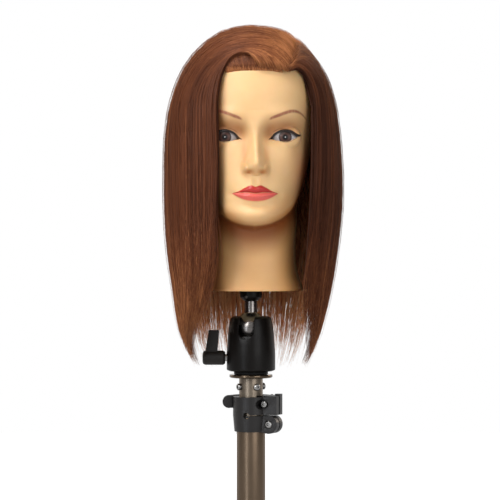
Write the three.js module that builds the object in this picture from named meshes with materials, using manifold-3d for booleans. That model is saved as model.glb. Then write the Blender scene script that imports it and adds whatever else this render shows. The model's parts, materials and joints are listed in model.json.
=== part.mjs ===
// Mannequin training head on the upper section of its stand.
// Millimetres, +Z up, the face looks along -Y. The origin is on the axis of the column, at the
// lower end of the outer tube.
import * as THREE from 'three';
import { mergeVertices } from 'three/addons/utils/BufferGeometryUtils.js';
import { ParametricGeometry } from 'three/addons/geometries/ParametricGeometry.js';
import Module from 'manifold-3d';

const wasm = await Module();
wasm.setup();

// ---- Driving dimensions ----
const GAP = 0.3; // between pieces that touch
const FINE = 24; // sides of a large round piece
const COARSE = 12; // sides of a screw or a pin

const OUTER_TUBE = { radius: 16, wall: 1.5, top: 116 };
const INNER_TUBE = { radius: 13.2, wall: 1.5, bottom: 12, top: 159.7 };
const COLLAR = {
  bottom: 100.5,
  slot: 118.2, // underside of the slot between the fixed band and the clamping band
  slotHeight: 1.5,
  top: 139,
  radius: 20,
  turn: -25, // degrees from +X to the direction in which the ears point
  earReach: 34.6,
  earHalf: 8.1, // from the split to the outer face of an ear
  splitHalf: 1.2,
};
const UPPER_BOLT = { u: 18.7, z: 131, radius: 2.5 }; // u runs along the ears
const LOWER_BOLT = { u: 24.7, z: 109, radius: 2.5, lug: 10.3 };
const LEVER_PIN = { u: 18.7, v: 15.2, radius: 1.6 };
const FLANGE = { radius: 24, bottom: 160, top: 163.5 };
const SPACER = { radius: 18.9, top: 167 };
const SET_SCREW = { z: 150, head: 3.75, proud: 3.3, firstAngle: 26 };
const HOUSING = { bottom: 167.3, radius: 27, shoulder: 226, top: 228, rim: 14, cavity: 19.6 };
const LOCK = { z: 182, hubRadius: 8, hubFar: -53.8, hubNear: -28.6, handleTop: 212.6 };
const BALL = { z: 216, radius: 17.5 };
const NOTCH = { width: 18.3, bottom: 203, angle: -14.5 }; // drop notch, degrees from the front
const STEM = { radius: 7.2, top: 245, spigot: 5, spigotTop: 272 };
const CONE = { bottom: 245.3, top: 256.5, radius: 12.5, screw: 249.8 };
const POST = { bottom: 256.9, top: 317.5, lower: 12.2, upper: 9.7 };
const NECK_BASE = 257;
const SHELL_WALL = 3;
const HEAD_TURN = 3; // degrees that the face is turned to +X on its post
const EYE = { x: 32.4, y: -74, z: 423.7, radius: 12 };
const SOCKET = { depth: 8, spread: 11 };

// Levels of the head: height, reach to the front, reach to the back, half width, and how far
// the section narrows towards the front.
const HEAD_LEVELS = [
  [NECK_BASE, 54, 62, 59, 0],
  [272, 50, 60, 55.5, 0],
  [290, 47, 57, 51, 0],
  [314, 54, 58, 50, 0.05],
  [327, 64, 62, 51.5, 0.2],
  [332, 88, 63, 53, 0.5],
  [342.5, 93, 66, 56, 0.42],
  [354, 90, 70, 59, 0.32],
  [367, 96, 76, 62, 0.25],
  [383.6, 95, 84, 66, 0.15],
  [403, 95, 91, 69.5, 0.1],
  [425, 92, 95, 72, 0.05],
  [447, 98, 97, 74, 0],
  [475, 98, 96, 73, 0],
  [497, 91, 88, 67, 0],
  [515, 77, 74, 55, 0],
  [529, 55, 53, 38, 0],
  [538, 27, 26, 18, 0],
];
const HEAD_MIDDLE = 8; // Y of the widest part of each section
const CROWN = 541;
const NOSE = { root: 426, tip: 396, base: 383.6, proud: 17, halfWidth: 14.4 };

// Levels of the hair's outer surface: height, reach to the left, right, front and back.
const HAIR_LEVELS = [
  [186, 68, 67, 62, 90],
  [203, 74, 73, 68, 93],
  [229, 81, 81, 76, 97],
  [259, 87, 89, 84, 101],
  [287, 91, 94, 88, 104],
  [317, 94, 98, 91, 107],
  [353, 96, 101, 94, 110],
  [385, 96, 101, 98, 112],
  [418, 95.5, 99, 101, 112],
  [446, 93, 96, 104, 111],
  [470, 87, 91, 106, 107],
  [495, 77, 82, 103, 98],
  [518, 62, 65, 90, 82],
  [535, 43, 48, 66, 60],
  [545, 23, 28, 36, 34],
];
const HAIR_TOP = 550;
const HAIR_THIN = [4, 5, 11, 14, 15, 16, 16]; // thickness of the hanging lengths, from the ends up
const HAIRLINE = 493;
const HAIR_SPLIT = 40; // Y that parts the side hair from the back hair
const NAPE_SPLIT = 35; // X that parts the back hair

// ---- Materials ----
const finish = (color, roughness, metalness) =>
  new THREE.MeshStandardMaterial({ color, roughness, metalness });
const anodised = () => finish(0x5f554b, 0.38, 0.9);
const blackPlastic = () => finish(0x2b2829, 0.5, 0);
const blackCoat = () => finish(0x1b1918, 0.4, 0.3);
const chrome = () => finish(0xd8d8d8, 0.12, 1);
const steel = () => finish(0xa8a8a8, 0.35, 1);
const nylon = () => finish(0xd9d4c8, 0.6, 0);
const vinyl = () => finish(0xe2b67d, 0.45, 0);
const foam = () => finish(0xe8dcb8, 0.9, 0);
const eyeGlaze = () => finish(0x4b2f28, 0.1, 0);
const hairFibre = () => finish(0x5a3120, 0.5, 0);

// ---- Solids ----
const rad = THREE.MathUtils.degToRad;

function solid(geometry) {
  const bare = geometry.index ? geometry.toNonIndexed() : geometry;
  bare.deleteAttribute('normal');
  bare.deleteAttribute('uv');
  const merged = mergeVertices(bare, 1e-3);
  const vertProperties = new Float32Array(merged.attributes.position.array);
  const triVerts = new Uint32Array(merged.index.array);
  return new wasm.Manifold(new wasm.Mesh({ numProp: 3, vertProperties, triVerts }));
}

function geometryOf(made) {
  const mesh = made.getMesh();
  const geometry = new THREE.BufferGeometry();
  geometry.setAttribute('position', new THREE.BufferAttribute(new Float32Array(mesh.vertProperties), 3));
  geometry.setIndex(new THREE.BufferAttribute(new Uint32Array(mesh.triVerts), 1));
  return geometry;
}

// A body of revolution about Z from [radius, height] points, the outer side going up.
function turned(points, sides = FINE) {
  const profile = points.map(([r, z]) => new THREE.Vector2(r, z));
  return solid(new THREE.LatheGeometry(profile, sides).rotateX(Math.PI / 2));
}

function ring(outer, inner, bottom, top, sides = FINE) {
  const corners = [[inner, bottom], [outer, bottom], [outer, top], [inner, top], [inner, bottom]];
  return turned(corners, sides);
}

function rod(radius, bottom, top, sides = COARSE) {
  return turned([[0, bottom], [radius, bottom], [radius, top], [0, top]], sides);
}

// Turns a body made about Z so that its +Z runs along +X or along +Y.
const alongX = (body) => body.rotate([0, 90, 0]);
const alongY = (body) => body.rotate([-90, 0, 0]);

function block(x0, x1, y0, y1, z0, z1) {
  const box = new THREE.BoxGeometry(x1 - x0, y1 - y0, z1 - z0);
  return solid(box.translate((x0 + x1) / 2, (y0 + y1) / 2, (z0 + z1) / 2));
}

function extruded(shape, depth) {
  return solid(new THREE.ExtrudeGeometry(shape, { depth, bevelEnabled: false, curveSegments: 12 }));
}

function hexagon(radius, bottom, top) {
  return rod(radius, bottom, top, 6);
}

// A screw along +Z with its head's underside at height 0: a cap with a hex socket, and a shank.
function screw(headRadius, headHeight, shankRadius, shankLength) {
  const chamfer = headHeight * 0.25;
  const body = turned([
    [0, -shankLength],
    [shankRadius, -shankLength],
    [shankRadius, 0],
    [headRadius, 0],
    [headRadius, headHeight - chamfer],
    [headRadius - chamfer, headHeight],
    [0, headHeight],
  ], COARSE);
  return body.subtract(hexagon(headRadius * 0.5, headHeight * 0.45, headHeight + 1));
}

// Value of one column of a table of levels at a height, straight between its levels.
function levelAt(levels, height, column) {
  const above = levels.findIndex((level) => level[0] >= height);
  if (above <= 0) return levels[above === 0 ? 0 : levels.length - 1][column];
  const low = levels[above - 1];
  const high = levels[above];
  return THREE.MathUtils.mapLinear(height, low[0], high[0], low[column], high[column]);
}

// A closed surface through rings of points: ringAt(height, turn) gives a point for a turn of
// 0 to 1, and the first and last rings are closed flat, or to a point at the apex.
function loft(ringAt, heights, around, apex) {
  const last = heights.length + 1;
  const surface = (u, v, target) => {
    const row = Math.round(v * last);
    if (row === 0) return target.set(0, 0, heights[0]);
    if (row === last) return target.set(0, 0, apex ?? heights[heights.length - 1]);
    return target.copy(ringAt(heights[row - 1], u % 1));
  };
  return solid(new ParametricGeometry(surface, around, last));
}

// A point of an oval section: reaches to the right, left, front and back, about a middle.
function ovalPoint(turn, height, reach, middle, narrowing) {
  const angle = turn * 2 * Math.PI;
  const power = 0.88;
  const across = Math.sign(Math.cos(angle)) * Math.abs(Math.cos(angle)) ** power;
  const along = Math.sign(Math.sin(angle)) * Math.abs(Math.sin(angle)) ** power;
  const width = across > 0 ? reach.right : reach.left;
  const depth = along > 0 ? reach.back - middle : reach.front + middle;
  const narrowed = along < 0 ? 1 - narrowing * along * along : 1;
  return new THREE.Vector3(across * width * narrowed, middle + along * depth, height);
}

// ---- Column ----
function outerTube() {
  return ring(OUTER_TUBE.radius, OUTER_TUBE.radius - OUTER_TUBE.wall, 0, OUTER_TUBE.top);
}

const SLEEVE = {
  outer: OUTER_TUBE.radius - OUTER_TUBE.wall - GAP,
  inner: INNER_TUBE.radius + GAP,
};

function topBush() {
  const shoulder = OUTER_TUBE.top + GAP;
  return turned([
    [SLEEVE.inner, shoulder - 13],
    [SLEEVE.outer, shoulder - 13],
    [SLEEVE.outer, shoulder],
    [OUTER_TUBE.radius, shoulder],
    [OUTER_TUBE.radius, shoulder + 1.6],
    [SLEEVE.inner, shoulder + 1.6],
    [SLEEVE.inner, shoulder - 13],
  ]);
}

function slideShim() {
  return ring(SLEEVE.outer, SLEEVE.inner, INNER_TUBE.bottom + 2, INNER_TUBE.bottom + 26);
}

// ---- Clamp collar; u runs along the ears and v across the split ----
function collarBody() {
  const { bottom, slot, slotHeight, top, radius, earReach, earHalf, splitHalf } = COLLAR;
  const bore = INNER_TUBE.radius + GAP;
  const bands = turned([
    [OUTER_TUBE.radius + GAP, bottom],
    [radius - 1.6, bottom],
    [radius, slot],
    [radius, top],
    [bore, top],
    [bore, slot],
    [OUTER_TUBE.radius + GAP, slot],
    [OUTER_TUBE.radius + GAP, bottom],
  ]);
  const upperEars = block(10, earReach, -earHalf, earHalf, slot + slotHeight, top + 1.5)
    .add(block(earReach - 6, earReach, splitHalf, earHalf, slot + slotHeight + 2.6, top + 3.5));
  const lug = new THREE.Shape();
  lug.absarc(LOWER_BOLT.u, LOWER_BOLT.z, LOWER_BOLT.lug, -Math.PI / 2, Math.PI / 2.6);
  lug.lineTo(14, slot);
  lug.lineTo(14, bottom);
  const lowerEars = extruded(lug, 2 * earHalf).rotate([90, 0, 0]).translate([0, earHalf, 0]);
  const tubes = rod(bore, slot - 1, top + 5, FINE).add(rod(OUTER_TUBE.radius + GAP, 90, slot, FINE));
  const keyhole = alongY(rod(3.5, -30, 30)).translate([3.3, 0, slot + 0.5]);
  const cuts = [
    tubes,
    block(0, 50, -splitHalf, splitHalf, 90, 150),
    block(3.3, 50, -30, 30, slot, slot + slotHeight),
    block(12, earReach - 8, earHalf, 30, slot + slotHeight, top + 10), // flat for the lever's cam
    keyhole,
    alongY(rod(UPPER_BOLT.radius + GAP, -20, 20)).translate([UPPER_BOLT.u, 0, UPPER_BOLT.z]),
    alongY(rod(6, -20, 4.2 - earHalf)).translate([UPPER_BOLT.u, 0, UPPER_BOLT.z]),
    alongY(rod(LOWER_BOLT.radius + GAP, -20, 20)).translate([LOWER_BOLT.u, 0, LOWER_BOLT.z]),
    alongY(rod(4.6, -20, 3 - earHalf)).translate([LOWER_BOLT.u, 0, LOWER_BOLT.z]),
    alongY(hexagon(4.9, earHalf - 4.5, 20)).translate([LOWER_BOLT.u, 0, LOWER_BOLT.z]),
  ];
  return cuts.reduce((body, cut) => body.subtract(cut), bands.add(upperEars).add(lowerEars));
}

function lowerClampScrew() {
  const head = 3 - COLLAR.earHalf - GAP;
  const made = screw(4, 3.4, LOWER_BOLT.radius, COLLAR.earHalf - head - 1);
  return made.rotate([90, 0, 0]).translate([LOWER_BOLT.u, head, LOWER_BOLT.z]);
}

function lowerClampNut() {
  const seat = COLLAR.earHalf - 4.5 + GAP;
  const nut = alongY(hexagon(4.5, seat, seat + 4)).subtract(alongY(rod(LOWER_BOLT.radius + GAP, 0, 20)));
  return nut.translate([LOWER_BOLT.u, 0, LOWER_BOLT.z]);
}

// The bolt that pulls the ears together: its head in the front ear, its eye on the lever's pin.
function tensionBolt() {
  const head = 4.2 - COLLAR.earHalf - GAP;
  const shank = screw(3.8, 3.2, UPPER_BOLT.radius, LEVER_PIN.v - head)
    .rotate([90, 0, 0])
    .translate([UPPER_BOLT.u, head, UPPER_BOLT.z]);
  const eye = rod(4, UPPER_BOLT.z - 3.3, UPPER_BOLT.z + 3.3).translate([LEVER_PIN.u, LEVER_PIN.v, 0]);
  const hole = rod(LEVER_PIN.radius + GAP, 100, 160).translate([LEVER_PIN.u, LEVER_PIN.v, 0]);
  return shank.add(eye).subtract(hole);
}

function camWasher() {
  const plate = block(UPPER_BOLT.u - 6, UPPER_BOLT.u + 6, 0, 1, UPPER_BOLT.z - 7, UPPER_BOLT.z + 7);
  const hole = alongY(rod(UPPER_BOLT.radius + GAP, -5, 5)).translate([UPPER_BOLT.u, 0, UPPER_BOLT.z]);
  return plate.subtract(hole).translate([0, COLLAR.earHalf + GAP, 0]);
}

function leverPin() {
  return rod(LEVER_PIN.radius, 124.6, 141).translate([LEVER_PIN.u, LEVER_PIN.v, 0]);
}

function flipLever() {
  const inner = COLLAR.radius + 0.8;
  const bottom = 125.8;
  const height = 14.2;
  const arc = new THREE.Shape();
  arc.absarc(0, 0, inner + 4.2, rad(42), rad(192), false);
  arc.absarc(0, 0, inner, rad(192), rad(42), true);
  const arm = extruded(arc, height).translate([0, 0, bottom]);
  const cam = rod(5.4, bottom, bottom + height).translate([LEVER_PIN.u, LEVER_PIN.v, 0]);
  const thumb = alongY(rod(7.1, -2.6, 2.6))
    .rotate([0, 0, -COLLAR.turn])
    .translate([-24.8, -5, bottom + height / 2]);
  const eyeRoom = rod(9, UPPER_BOLT.z - 3.8, UPPER_BOLT.z + 3.8).translate([LEVER_PIN.u, LEVER_PIN.v, 0]);
  const pinHole = rod(LEVER_PIN.radius + GAP, 100, 160).translate([LEVER_PIN.u, LEVER_PIN.v, 0]);
  return arm.add(thumb)
    .subtract(rod(inner, 100, 160, FINE))
    .add(cam)
    .subtract(eyeRoom)
    .subtract(pinHole);
}

// ---- Top of the column ----
function innerTube() {
  const { radius, wall, bottom, top } = INNER_TUBE;
  return cutForSetScrews(ring(radius, radius - wall, bottom, top));
}

function cutForSetScrews(body) {
  return setScrewAngles().reduce((made, angle) => {
    const hole = alongX(rod(2.3, 5, 20)).rotate([0, 0, angle]).translate([0, 0, SET_SCREW.z]);
    return made.subtract(hole);
  }, body);
}

const setScrewAngles = () => [0, 1, 2, 3].map((quarter) => SET_SCREW.firstAngle - 90 + 90 * quarter);

function setScrew(angle) {
  const made = screw(SET_SCREW.head, SET_SCREW.proud, 2, 7);
  const outwards = alongX(made.translate([0, 0, INNER_TUBE.radius + GAP]));
  return outwards.rotate([0, 0, angle]).translate([0, 0, SET_SCREW.z]);
}

const STUD_HOLE = 5;

function columnPlug() {
  const body = INNER_TUBE.radius - INNER_TUBE.wall - GAP;
  return cutForSetScrews(turned([
    [STUD_HOLE, 136.3],
    [body, 136.3],
    [body, FLANGE.bottom],
    [FLANGE.radius - 1.5, FLANGE.bottom],
    [FLANGE.radius, FLANGE.bottom + 1],
    [FLANGE.radius, FLANGE.top],
    [STUD_HOLE, FLANGE.top],
    [STUD_HOLE, 136.3],
  ]));
}

function mountBolt() {
  const shank = rod(STUD_HOLE - GAP, 135, 174.5);
  return shank.add(hexagon(8, 130, 136));
}

function spacer() {
  return ring(SPACER.radius, STUD_HOLE, FLANGE.top + GAP, SPACER.top);
}

// ---- Ball head ----
function ballHousing() {
  const { bottom, radius, shoulder, top, rim, cavity } = HOUSING;
  const body = turned([
    [STUD_HOLE, bottom],
    [radius - 3, bottom],
    [radius, bottom + 1.4],
    [radius, 186],
    [radius - 0.6, 195],
    [radius - 1.3, 207],
    [radius - 2.4, 216.5],
    [radius - 4.3, shoulder],
    [radius - 7.6, top],
    [rim, top],
    [rim, top - 0.8],
    [rim + 2.2, 225],
    [cavity, 225],
    [cavity, 188],
    [10, 188],
    [10, 171.5],
    [STUD_HOLE, 171.5],
    [STUD_HOLE, bottom],
  ]);
  const spindleHole = alongX(rod(4.3, -40, -20)).translate([0, 0, LOCK.z]);
  const plungerBore = alongX(rod(4.7, -24, -5)).translate([0, 0, LOCK.z]);
  return body.subtract(spindleHole).subtract(plungerBore).subtract(dropNotch());
}

// The notch in the rim that lets the stem fold down.
function dropNotch() {
  const half = NOTCH.width / 2;
  const floor = alongY(rod(half, -40, -10, FINE)).translate([0, 0, NOTCH.bottom + half]);
  const slot = block(-half, half, -40, -10, NOTCH.bottom + half, 240);
  return floor.add(slot).rotate([0, 0, NOTCH.angle]);
}

function topLiner() {
  const outer = HOUSING.cavity - GAP;
  const body = turned([
    [17.9, 219], [outer, 219], [outer, 224.7], [16.2, 224.7], [17.9, 219],
  ]);
  return body.subtract(dropNotch());
}

function seatSpring() {
  return turned([[13, 190.4], [18, 188.4], [18.3, 189.6], [13.3, 192.1], [13, 190.4]]);
}

// The plastic cup under the ball; its boss rests on the nose of the plunger.
function seatCup() {
  const arc = [0, 0.25, 0.5, 0.75, 1].map((part) => {
    const angle = part * rad(56);
    const reach = BALL.radius + 0.35;
    return [reach * Math.sin(angle), BALL.z - reach * Math.cos(angle)];
  });
  return turned([
    [0, 185.6], [3, 185.6], [6, 188.6], [6, 192.5], [17.6, 192.5], [18.6, 196], [18.6, 206],
    ...arc.reverse(),
  ]);
}

function lockSpindle() {
  const spindle = rod(4, -44, -22.8).subtract(rod(2.4, -50, -36));
  return alongX(spindle).translate([0, 0, LOCK.z]);
}

function clampPlunger() {
  const body = turned([[0, -22], [4.4, -22], [4.4, -9], [1.4, -4.5], [0, -4.5]], COARSE);
  return alongX(body).translate([0, 0, LOCK.z]);
}

function lockLever() {
  const { hubRadius, hubFar, hubNear, handleTop, z } = LOCK;
  const hub = alongX(turned([
    [0, hubFar],
    [hubRadius - 1.4, hubFar],
    [hubRadius, hubFar + 1.4],
    [hubRadius, hubNear - 2.5],
    [hubRadius - 2, hubNear],
    [0, hubNear],
  ])).translate([0, 0, z]);
  const side = new THREE.Shape();
  side.moveTo(-50.5, z);
  side.lineTo(-37, z);
  side.lineTo(-37, z + 10);
  side.lineTo(-35.4, handleTop);
  side.lineTo(-46.8, handleTop);
  side.lineTo(-50.5, z + 8);
  const handle = extruded(side, 8).rotate([90, 0, 0]).translate([0, 4, 0]);
  const bore = alongX(rod(4.3, -44.3, -20)).translate([0, 0, z]);
  const screwHole = alongX(rod(2.4, -60, -40)).translate([0, 0, z]);
  const counterbore = alongX(rod(4.2, -60, hubFar + 3.6)).translate([0, 0, z]);
  return hub.add(handle).subtract(bore).subtract(screwHole).subtract(counterbore);
}

function leverCapScrew() {
  const head = LOCK.hubFar + 3.6 - GAP;
  const turnedOut = screw(3.8, 3, 2, 12).rotate([180, 0, 0]).translate([0, 0, head]);
  return alongX(turnedOut).translate([0, 0, LOCK.z]);
}

function ballStem() {
  const start = Math.asin((STEM.radius + 0.9) / BALL.radius);
  const steps = 14;
  const ball = Array.from({ length: steps + 1 }, (_, i) => {
    const angle = Math.PI - (Math.PI - start) * (i / steps);
    return [BALL.radius * Math.sin(angle), BALL.z + BALL.radius * Math.cos(angle)];
  });
  return turned([
    ...ball,
    [STEM.radius, 234],
    [STEM.radius, STEM.top],
    [STEM.spigot, STEM.top],
    [STEM.spigot, STEM.spigotTop],
    [0, STEM.spigotTop],
  ]);
}

function neckCone() {
  const bore = STEM.spigot + GAP;
  const body = turned([
    [bore, CONE.bottom],
    [STEM.radius + 0.6, CONE.bottom],
    [CONE.radius - 0.3, CONE.bottom + 4.2],
    [CONE.radius, CONE.top],
    [bore, CONE.top],
    [bore, CONE.bottom],
  ]);
  return body.subtract(coneScrewAt(rod(1.9, 4, 20)));
}

const CONE_SCREW_ANGLE = -118; // from +X, so in front and to the left
const coneScrewAt = (body) => alongX(body).rotate([0, 0, CONE_SCREW_ANGLE]).translate([0, 0, CONE.screw]);

function coneSetScrew() {
  return coneScrewAt(rod(1.6, 5.7, 12).subtract(hexagon(0.8, 10, 14)));
}

function neckPost() {
  const { bottom, top, lower, upper } = POST;
  const bore = STEM.spigot + GAP;
  const roof = STEM.spigotTop + 0.6;
  return turned([
    [bore, bottom], [lower, bottom], [upper, top], [0, top], [0, roof], [bore, roof], [bore, bottom],
  ]);
}

// ---- Head ----
// A point of the head's skin moved outwards by grow.
function headPoint(height, turn, grow = 0) {
  const reach = {
    front: levelAt(HEAD_LEVELS, height, 1) + grow,
    back: levelAt(HEAD_LEVELS, height, 2) + grow,
    left: levelAt(HEAD_LEVELS, height, 3) + grow,
    right: levelAt(HEAD_LEVELS, height, 3) + grow,
  };
  const point = ovalPoint(turn, height, reach, HEAD_MIDDLE, levelAt(HEAD_LEVELS, height, 4));
  if (point.y < 0) point.y += socketDepth(point.x, height) - noseProud(point.x, height);
  return point;
}

function noseProud(x, height) {
  if (height < NOSE.base || height > NOSE.root) return 0;
  const side = Math.max(0, 1 - Math.abs(x) / NOSE.halfWidth);
  const rise = height > NOSE.tip
    ? (NOSE.root - height) / (NOSE.root - NOSE.tip)
    : (height - NOSE.base + 3) / (NOSE.tip - NOSE.base + 3);
  return NOSE.proud * rise * side;
}

function socketDepth(x, height) {
  const away = Math.hypot(Math.abs(x) - EYE.x, height - EYE.z) / SOCKET.spread;
  return SOCKET.depth * Math.exp(-away * away);
}

function headBody(grow, heights, around) {
  return loft((height, turn) => headPoint(height, turn, grow), heights, around, CROWN + grow);
}

// Rings of the skin: the levels, and a few more where the nose and the brow need them.
const skinHeights = () =>
  [...HEAD_LEVELS.map((level) => level[0]), 389.6, NOSE.tip, 413.5, 462].sort((a, b) => a - b);

// The room inside the shell, from below the neck's base, without the nose.
function headRoom(shrink) {
  const levels = HEAD_LEVELS.map((level) => level[0]).filter((height, i) => i % 2 === 0 && height < 525);
  const heights = [NECK_BASE - 10, ...levels];
  const ringAt = (height, turn) => {
    const reach = {
      front: levelAt(HEAD_LEVELS, height, 1) - shrink - 3,
      back: levelAt(HEAD_LEVELS, height, 2) - shrink,
      left: levelAt(HEAD_LEVELS, height, 3) - shrink,
      right: levelAt(HEAD_LEVELS, height, 3) - shrink,
    };
    return ovalPoint(turn, height, reach, HEAD_MIDDLE, levelAt(HEAD_LEVELS, height, 4));
  };
  return loft(ringAt, heights, 24);
}

const eyeball = (radius, side) =>
  solid(new THREE.SphereGeometry(radius, 16, 10).translate(side * EYE.x, EYE.y, EYE.z));

function headShell() {
  return headBody(0, skinHeights(), 28)
    .subtract(headRoom(SHELL_WALL))
    .subtract(eyeball(EYE.radius + GAP, 1))
    .subtract(eyeball(EYE.radius + GAP, -1));
}

const INSERT = { radius: 16, top: 323.5 };

function neckInsert() {
  return turned([
    [POST.lower + 0.4, NECK_BASE],
    [INSERT.radius, NECK_BASE],
    [INSERT.radius, INSERT.top],
    [0, INSERT.top],
    [0, INSERT.top - 3],
    [POST.upper + 0.4, INSERT.top - 3],
    [POST.lower + 0.4, NECK_BASE],
  ]);
}

function foamCore() {
  return headRoom(SHELL_WALL + GAP)
    .subtract(block(-90, 90, -90, 90, NECK_BASE - 20, NECK_BASE + 4))
    .subtract(rod(INSERT.radius + GAP, 200, INSERT.top + GAP, FINE))
    .subtract(eyeball(EYE.radius + 1, 1))
    .subtract(eyeball(EYE.radius + 1, -1));
}

// ---- Hair ----
function hairPoint(height, turn, inset = 0) {
  const reach = {
    left: levelAt(HAIR_LEVELS, height, 1) - inset,
    right: levelAt(HAIR_LEVELS, height, 2) - inset,
    front: levelAt(HAIR_LEVELS, height, 3) - inset,
    back: levelAt(HAIR_LEVELS, height, 4) - inset,
  };
  return ovalPoint(turn, height, reach, 0, 0);
}

// The whole hair: the outer surface without the head, the room round the neck and the face.
function wholeHair() {
  const heights = HAIR_LEVELS.map((level) => level[0]);
  const outside = loft((height, turn) => hairPoint(height, turn), heights, 28, HAIR_TOP);
  const hanging = HAIR_LEVELS.slice(0, HAIR_THIN.length).map((level) => level[0]);
  const room = loft((height, turn) => {
    const level = hanging.indexOf(Math.max(height, hanging[0]));
    return hairPoint(height, turn, HAIR_THIN[level]);
  }, [hanging[0] - 10, ...hanging], 28);
  const window = new THREE.Shape();
  const edge = [
    [-66, 170], [-61, 203], [-48, 236], [-41, 300], [-37, 400], [-36, HAIRLINE],
    [57, HAIRLINE], [60, 450], [59, 300], [61, 236], [64, 203], [66, 170],
  ];
  edge.forEach(([x, z], i) => (i ? window.lineTo(x, z) : window.moveTo(x, z)));
  const face = extruded(window, 200).rotate([90, 0, 0]);
  const skin = headBody(0.5, skinHeights(), 28);
  const belowJaw = skin.subtract(block(-90, 90, -120, 120, 200, 300));
  const coveredEye = eyeball(EYE.radius + 0.5, -1);
  return outside.subtract(belowJaw).subtract(room).subtract(face).subtract(coveredEye);
}

function hairPieces() {
  const hair = wholeHair();
  const far = 200;
  const cut = GAP / 2;
  const shoulder = HAIRLINE + 2;
  const nape = NAPE_SPLIT;
  const within = (x0, x1, y0, y1, z0, z1) => hair.intersect(block(x0, x1, y0, y1, z0, z1));
  return {
    hair_crown: within(-far, far, -30 + cut, far, shoulder + cut, 600),
    hair_front_sweep: within(-far, far, -far, -30 - cut, shoulder + cut, 600),
    hair_left_side: within(-far, -cut, -far, HAIR_SPLIT - cut, 100, shoulder - cut),
    hair_right_side: within(cut, far, -far, HAIR_SPLIT - cut, 100, shoulder - cut),
    hair_back_left: within(-far, -nape - cut, HAIR_SPLIT + cut, far, 100, shoulder - cut),
    hair_back_centre: within(-nape + cut, nape - cut, HAIR_SPLIT + cut, far, 100, shoulder - cut),
    hair_back_right: within(nape + cut, far, HAIR_SPLIT + cut, far, 100, shoulder - cut),
  };
}

// ---- Scene graph ----
function piece(name, body, material, parent) {
  const mesh = new THREE.Mesh(geometryOf(body), material);
  mesh.name = name;
  parent.add(mesh);
  return mesh;
}

const group = new THREE.Group();
const clamp = new THREE.Group();
clamp.rotation.z = rad(COLLAR.turn);
const head = new THREE.Group();
head.rotation.z = rad(HEAD_TURN);
group.add(clamp, head);

piece('outer_tube', outerTube(), anodised(), group);
piece('top_bush', topBush(), nylon(), group);
piece('clamp_collar', collarBody(), blackPlastic(), clamp);
piece('lower_clamp_screw', lowerClampScrew(), chrome(), clamp);
piece('lower_clamp_nut', lowerClampNut(), steel(), clamp);
piece('tension_bolt', tensionBolt(), chrome(), clamp);
piece('cam_washer', camWasher(), steel(), clamp);
piece('lever_pin', leverPin(), steel(), clamp);
piece('flip_lever', flipLever(), blackPlastic(), clamp);

piece('inner_tube', innerTube(), anodised(), group);
piece('slide_shim', slideShim(), nylon(), group);
piece('column_plug', columnPlug(), anodised(), group);
setScrewAngles().forEach((angle, i) => piece(`set_screw_${i + 1}`, setScrew(angle), chrome(), group));
piece('mount_bolt', mountBolt(), steel(), group);
piece('spacer', spacer(), blackPlastic(), group);
piece('ball_housing', ballHousing(), blackCoat(), group);
piece('top_liner', topLiner(), nylon(), group);
piece('seat_spring', seatSpring(), steel(), group);
piece('seat_cup', seatCup(), nylon(), group);
piece('lock_spindle', lockSpindle(), chrome(), group);
piece('clamp_plunger', clampPlunger(), steel(), group);
piece('lock_lever', lockLever(), blackCoat(), group);
piece('lever_cap_screw', leverCapScrew(), chrome(), group);
piece('ball_stem', ballStem(), chrome(), group);
piece('neck_cone', neckCone(), blackCoat(), group);
piece('cone_set_screw', coneSetScrew(), chrome(), group);
piece('neck_post', neckPost(), blackPlastic(), group);

piece('neck_insert', neckInsert(), nylon(), head);
piece('foam_core', foamCore(), foam(), head);
piece('head_shell', headShell(), vinyl(), head);
piece('eye_left', eyeball(EYE.radius, -1), eyeGlaze(), head);
piece('eye_right', eyeball(EYE.radius, 1), eyeGlaze(), head);
Object.entries(hairPieces()).forEach(([name, body]) => piece(name, body, hairFibre(), head));

export default group;
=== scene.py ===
"""Looks of the mannequin training head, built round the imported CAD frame. Metres."""

import json
import math

import bmesh
import bpy
import numpy as np
from mathutils import Matrix, Vector

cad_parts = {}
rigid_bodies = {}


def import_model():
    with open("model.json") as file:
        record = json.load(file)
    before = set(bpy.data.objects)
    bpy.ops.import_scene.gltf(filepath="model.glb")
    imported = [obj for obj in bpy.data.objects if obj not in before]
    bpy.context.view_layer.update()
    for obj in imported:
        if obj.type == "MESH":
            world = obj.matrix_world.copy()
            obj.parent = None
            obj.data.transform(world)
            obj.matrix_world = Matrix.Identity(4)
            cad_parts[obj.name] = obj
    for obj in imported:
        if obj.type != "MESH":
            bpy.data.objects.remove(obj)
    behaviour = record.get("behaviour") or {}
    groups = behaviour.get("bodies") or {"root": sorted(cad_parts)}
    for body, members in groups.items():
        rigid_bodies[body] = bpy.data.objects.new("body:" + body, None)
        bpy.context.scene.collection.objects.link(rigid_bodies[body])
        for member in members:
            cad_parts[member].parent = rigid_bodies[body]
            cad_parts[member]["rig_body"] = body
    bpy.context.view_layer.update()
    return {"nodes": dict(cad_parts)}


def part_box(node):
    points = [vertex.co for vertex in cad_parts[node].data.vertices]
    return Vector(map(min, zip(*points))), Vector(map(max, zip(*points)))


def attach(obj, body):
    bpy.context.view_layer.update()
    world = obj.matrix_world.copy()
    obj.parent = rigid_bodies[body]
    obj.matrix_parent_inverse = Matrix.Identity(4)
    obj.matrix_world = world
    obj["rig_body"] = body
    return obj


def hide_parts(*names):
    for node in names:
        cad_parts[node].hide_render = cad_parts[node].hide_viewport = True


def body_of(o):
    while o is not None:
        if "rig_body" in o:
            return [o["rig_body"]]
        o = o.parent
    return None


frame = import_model()

MM = 0.001
HEAD_TURN = math.radians(3.0)  # the head's place on its post, as in the CAD
GAP = 0.3  # millimetres between pieces that touch
rng = np.random.default_rng(7)


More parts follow.
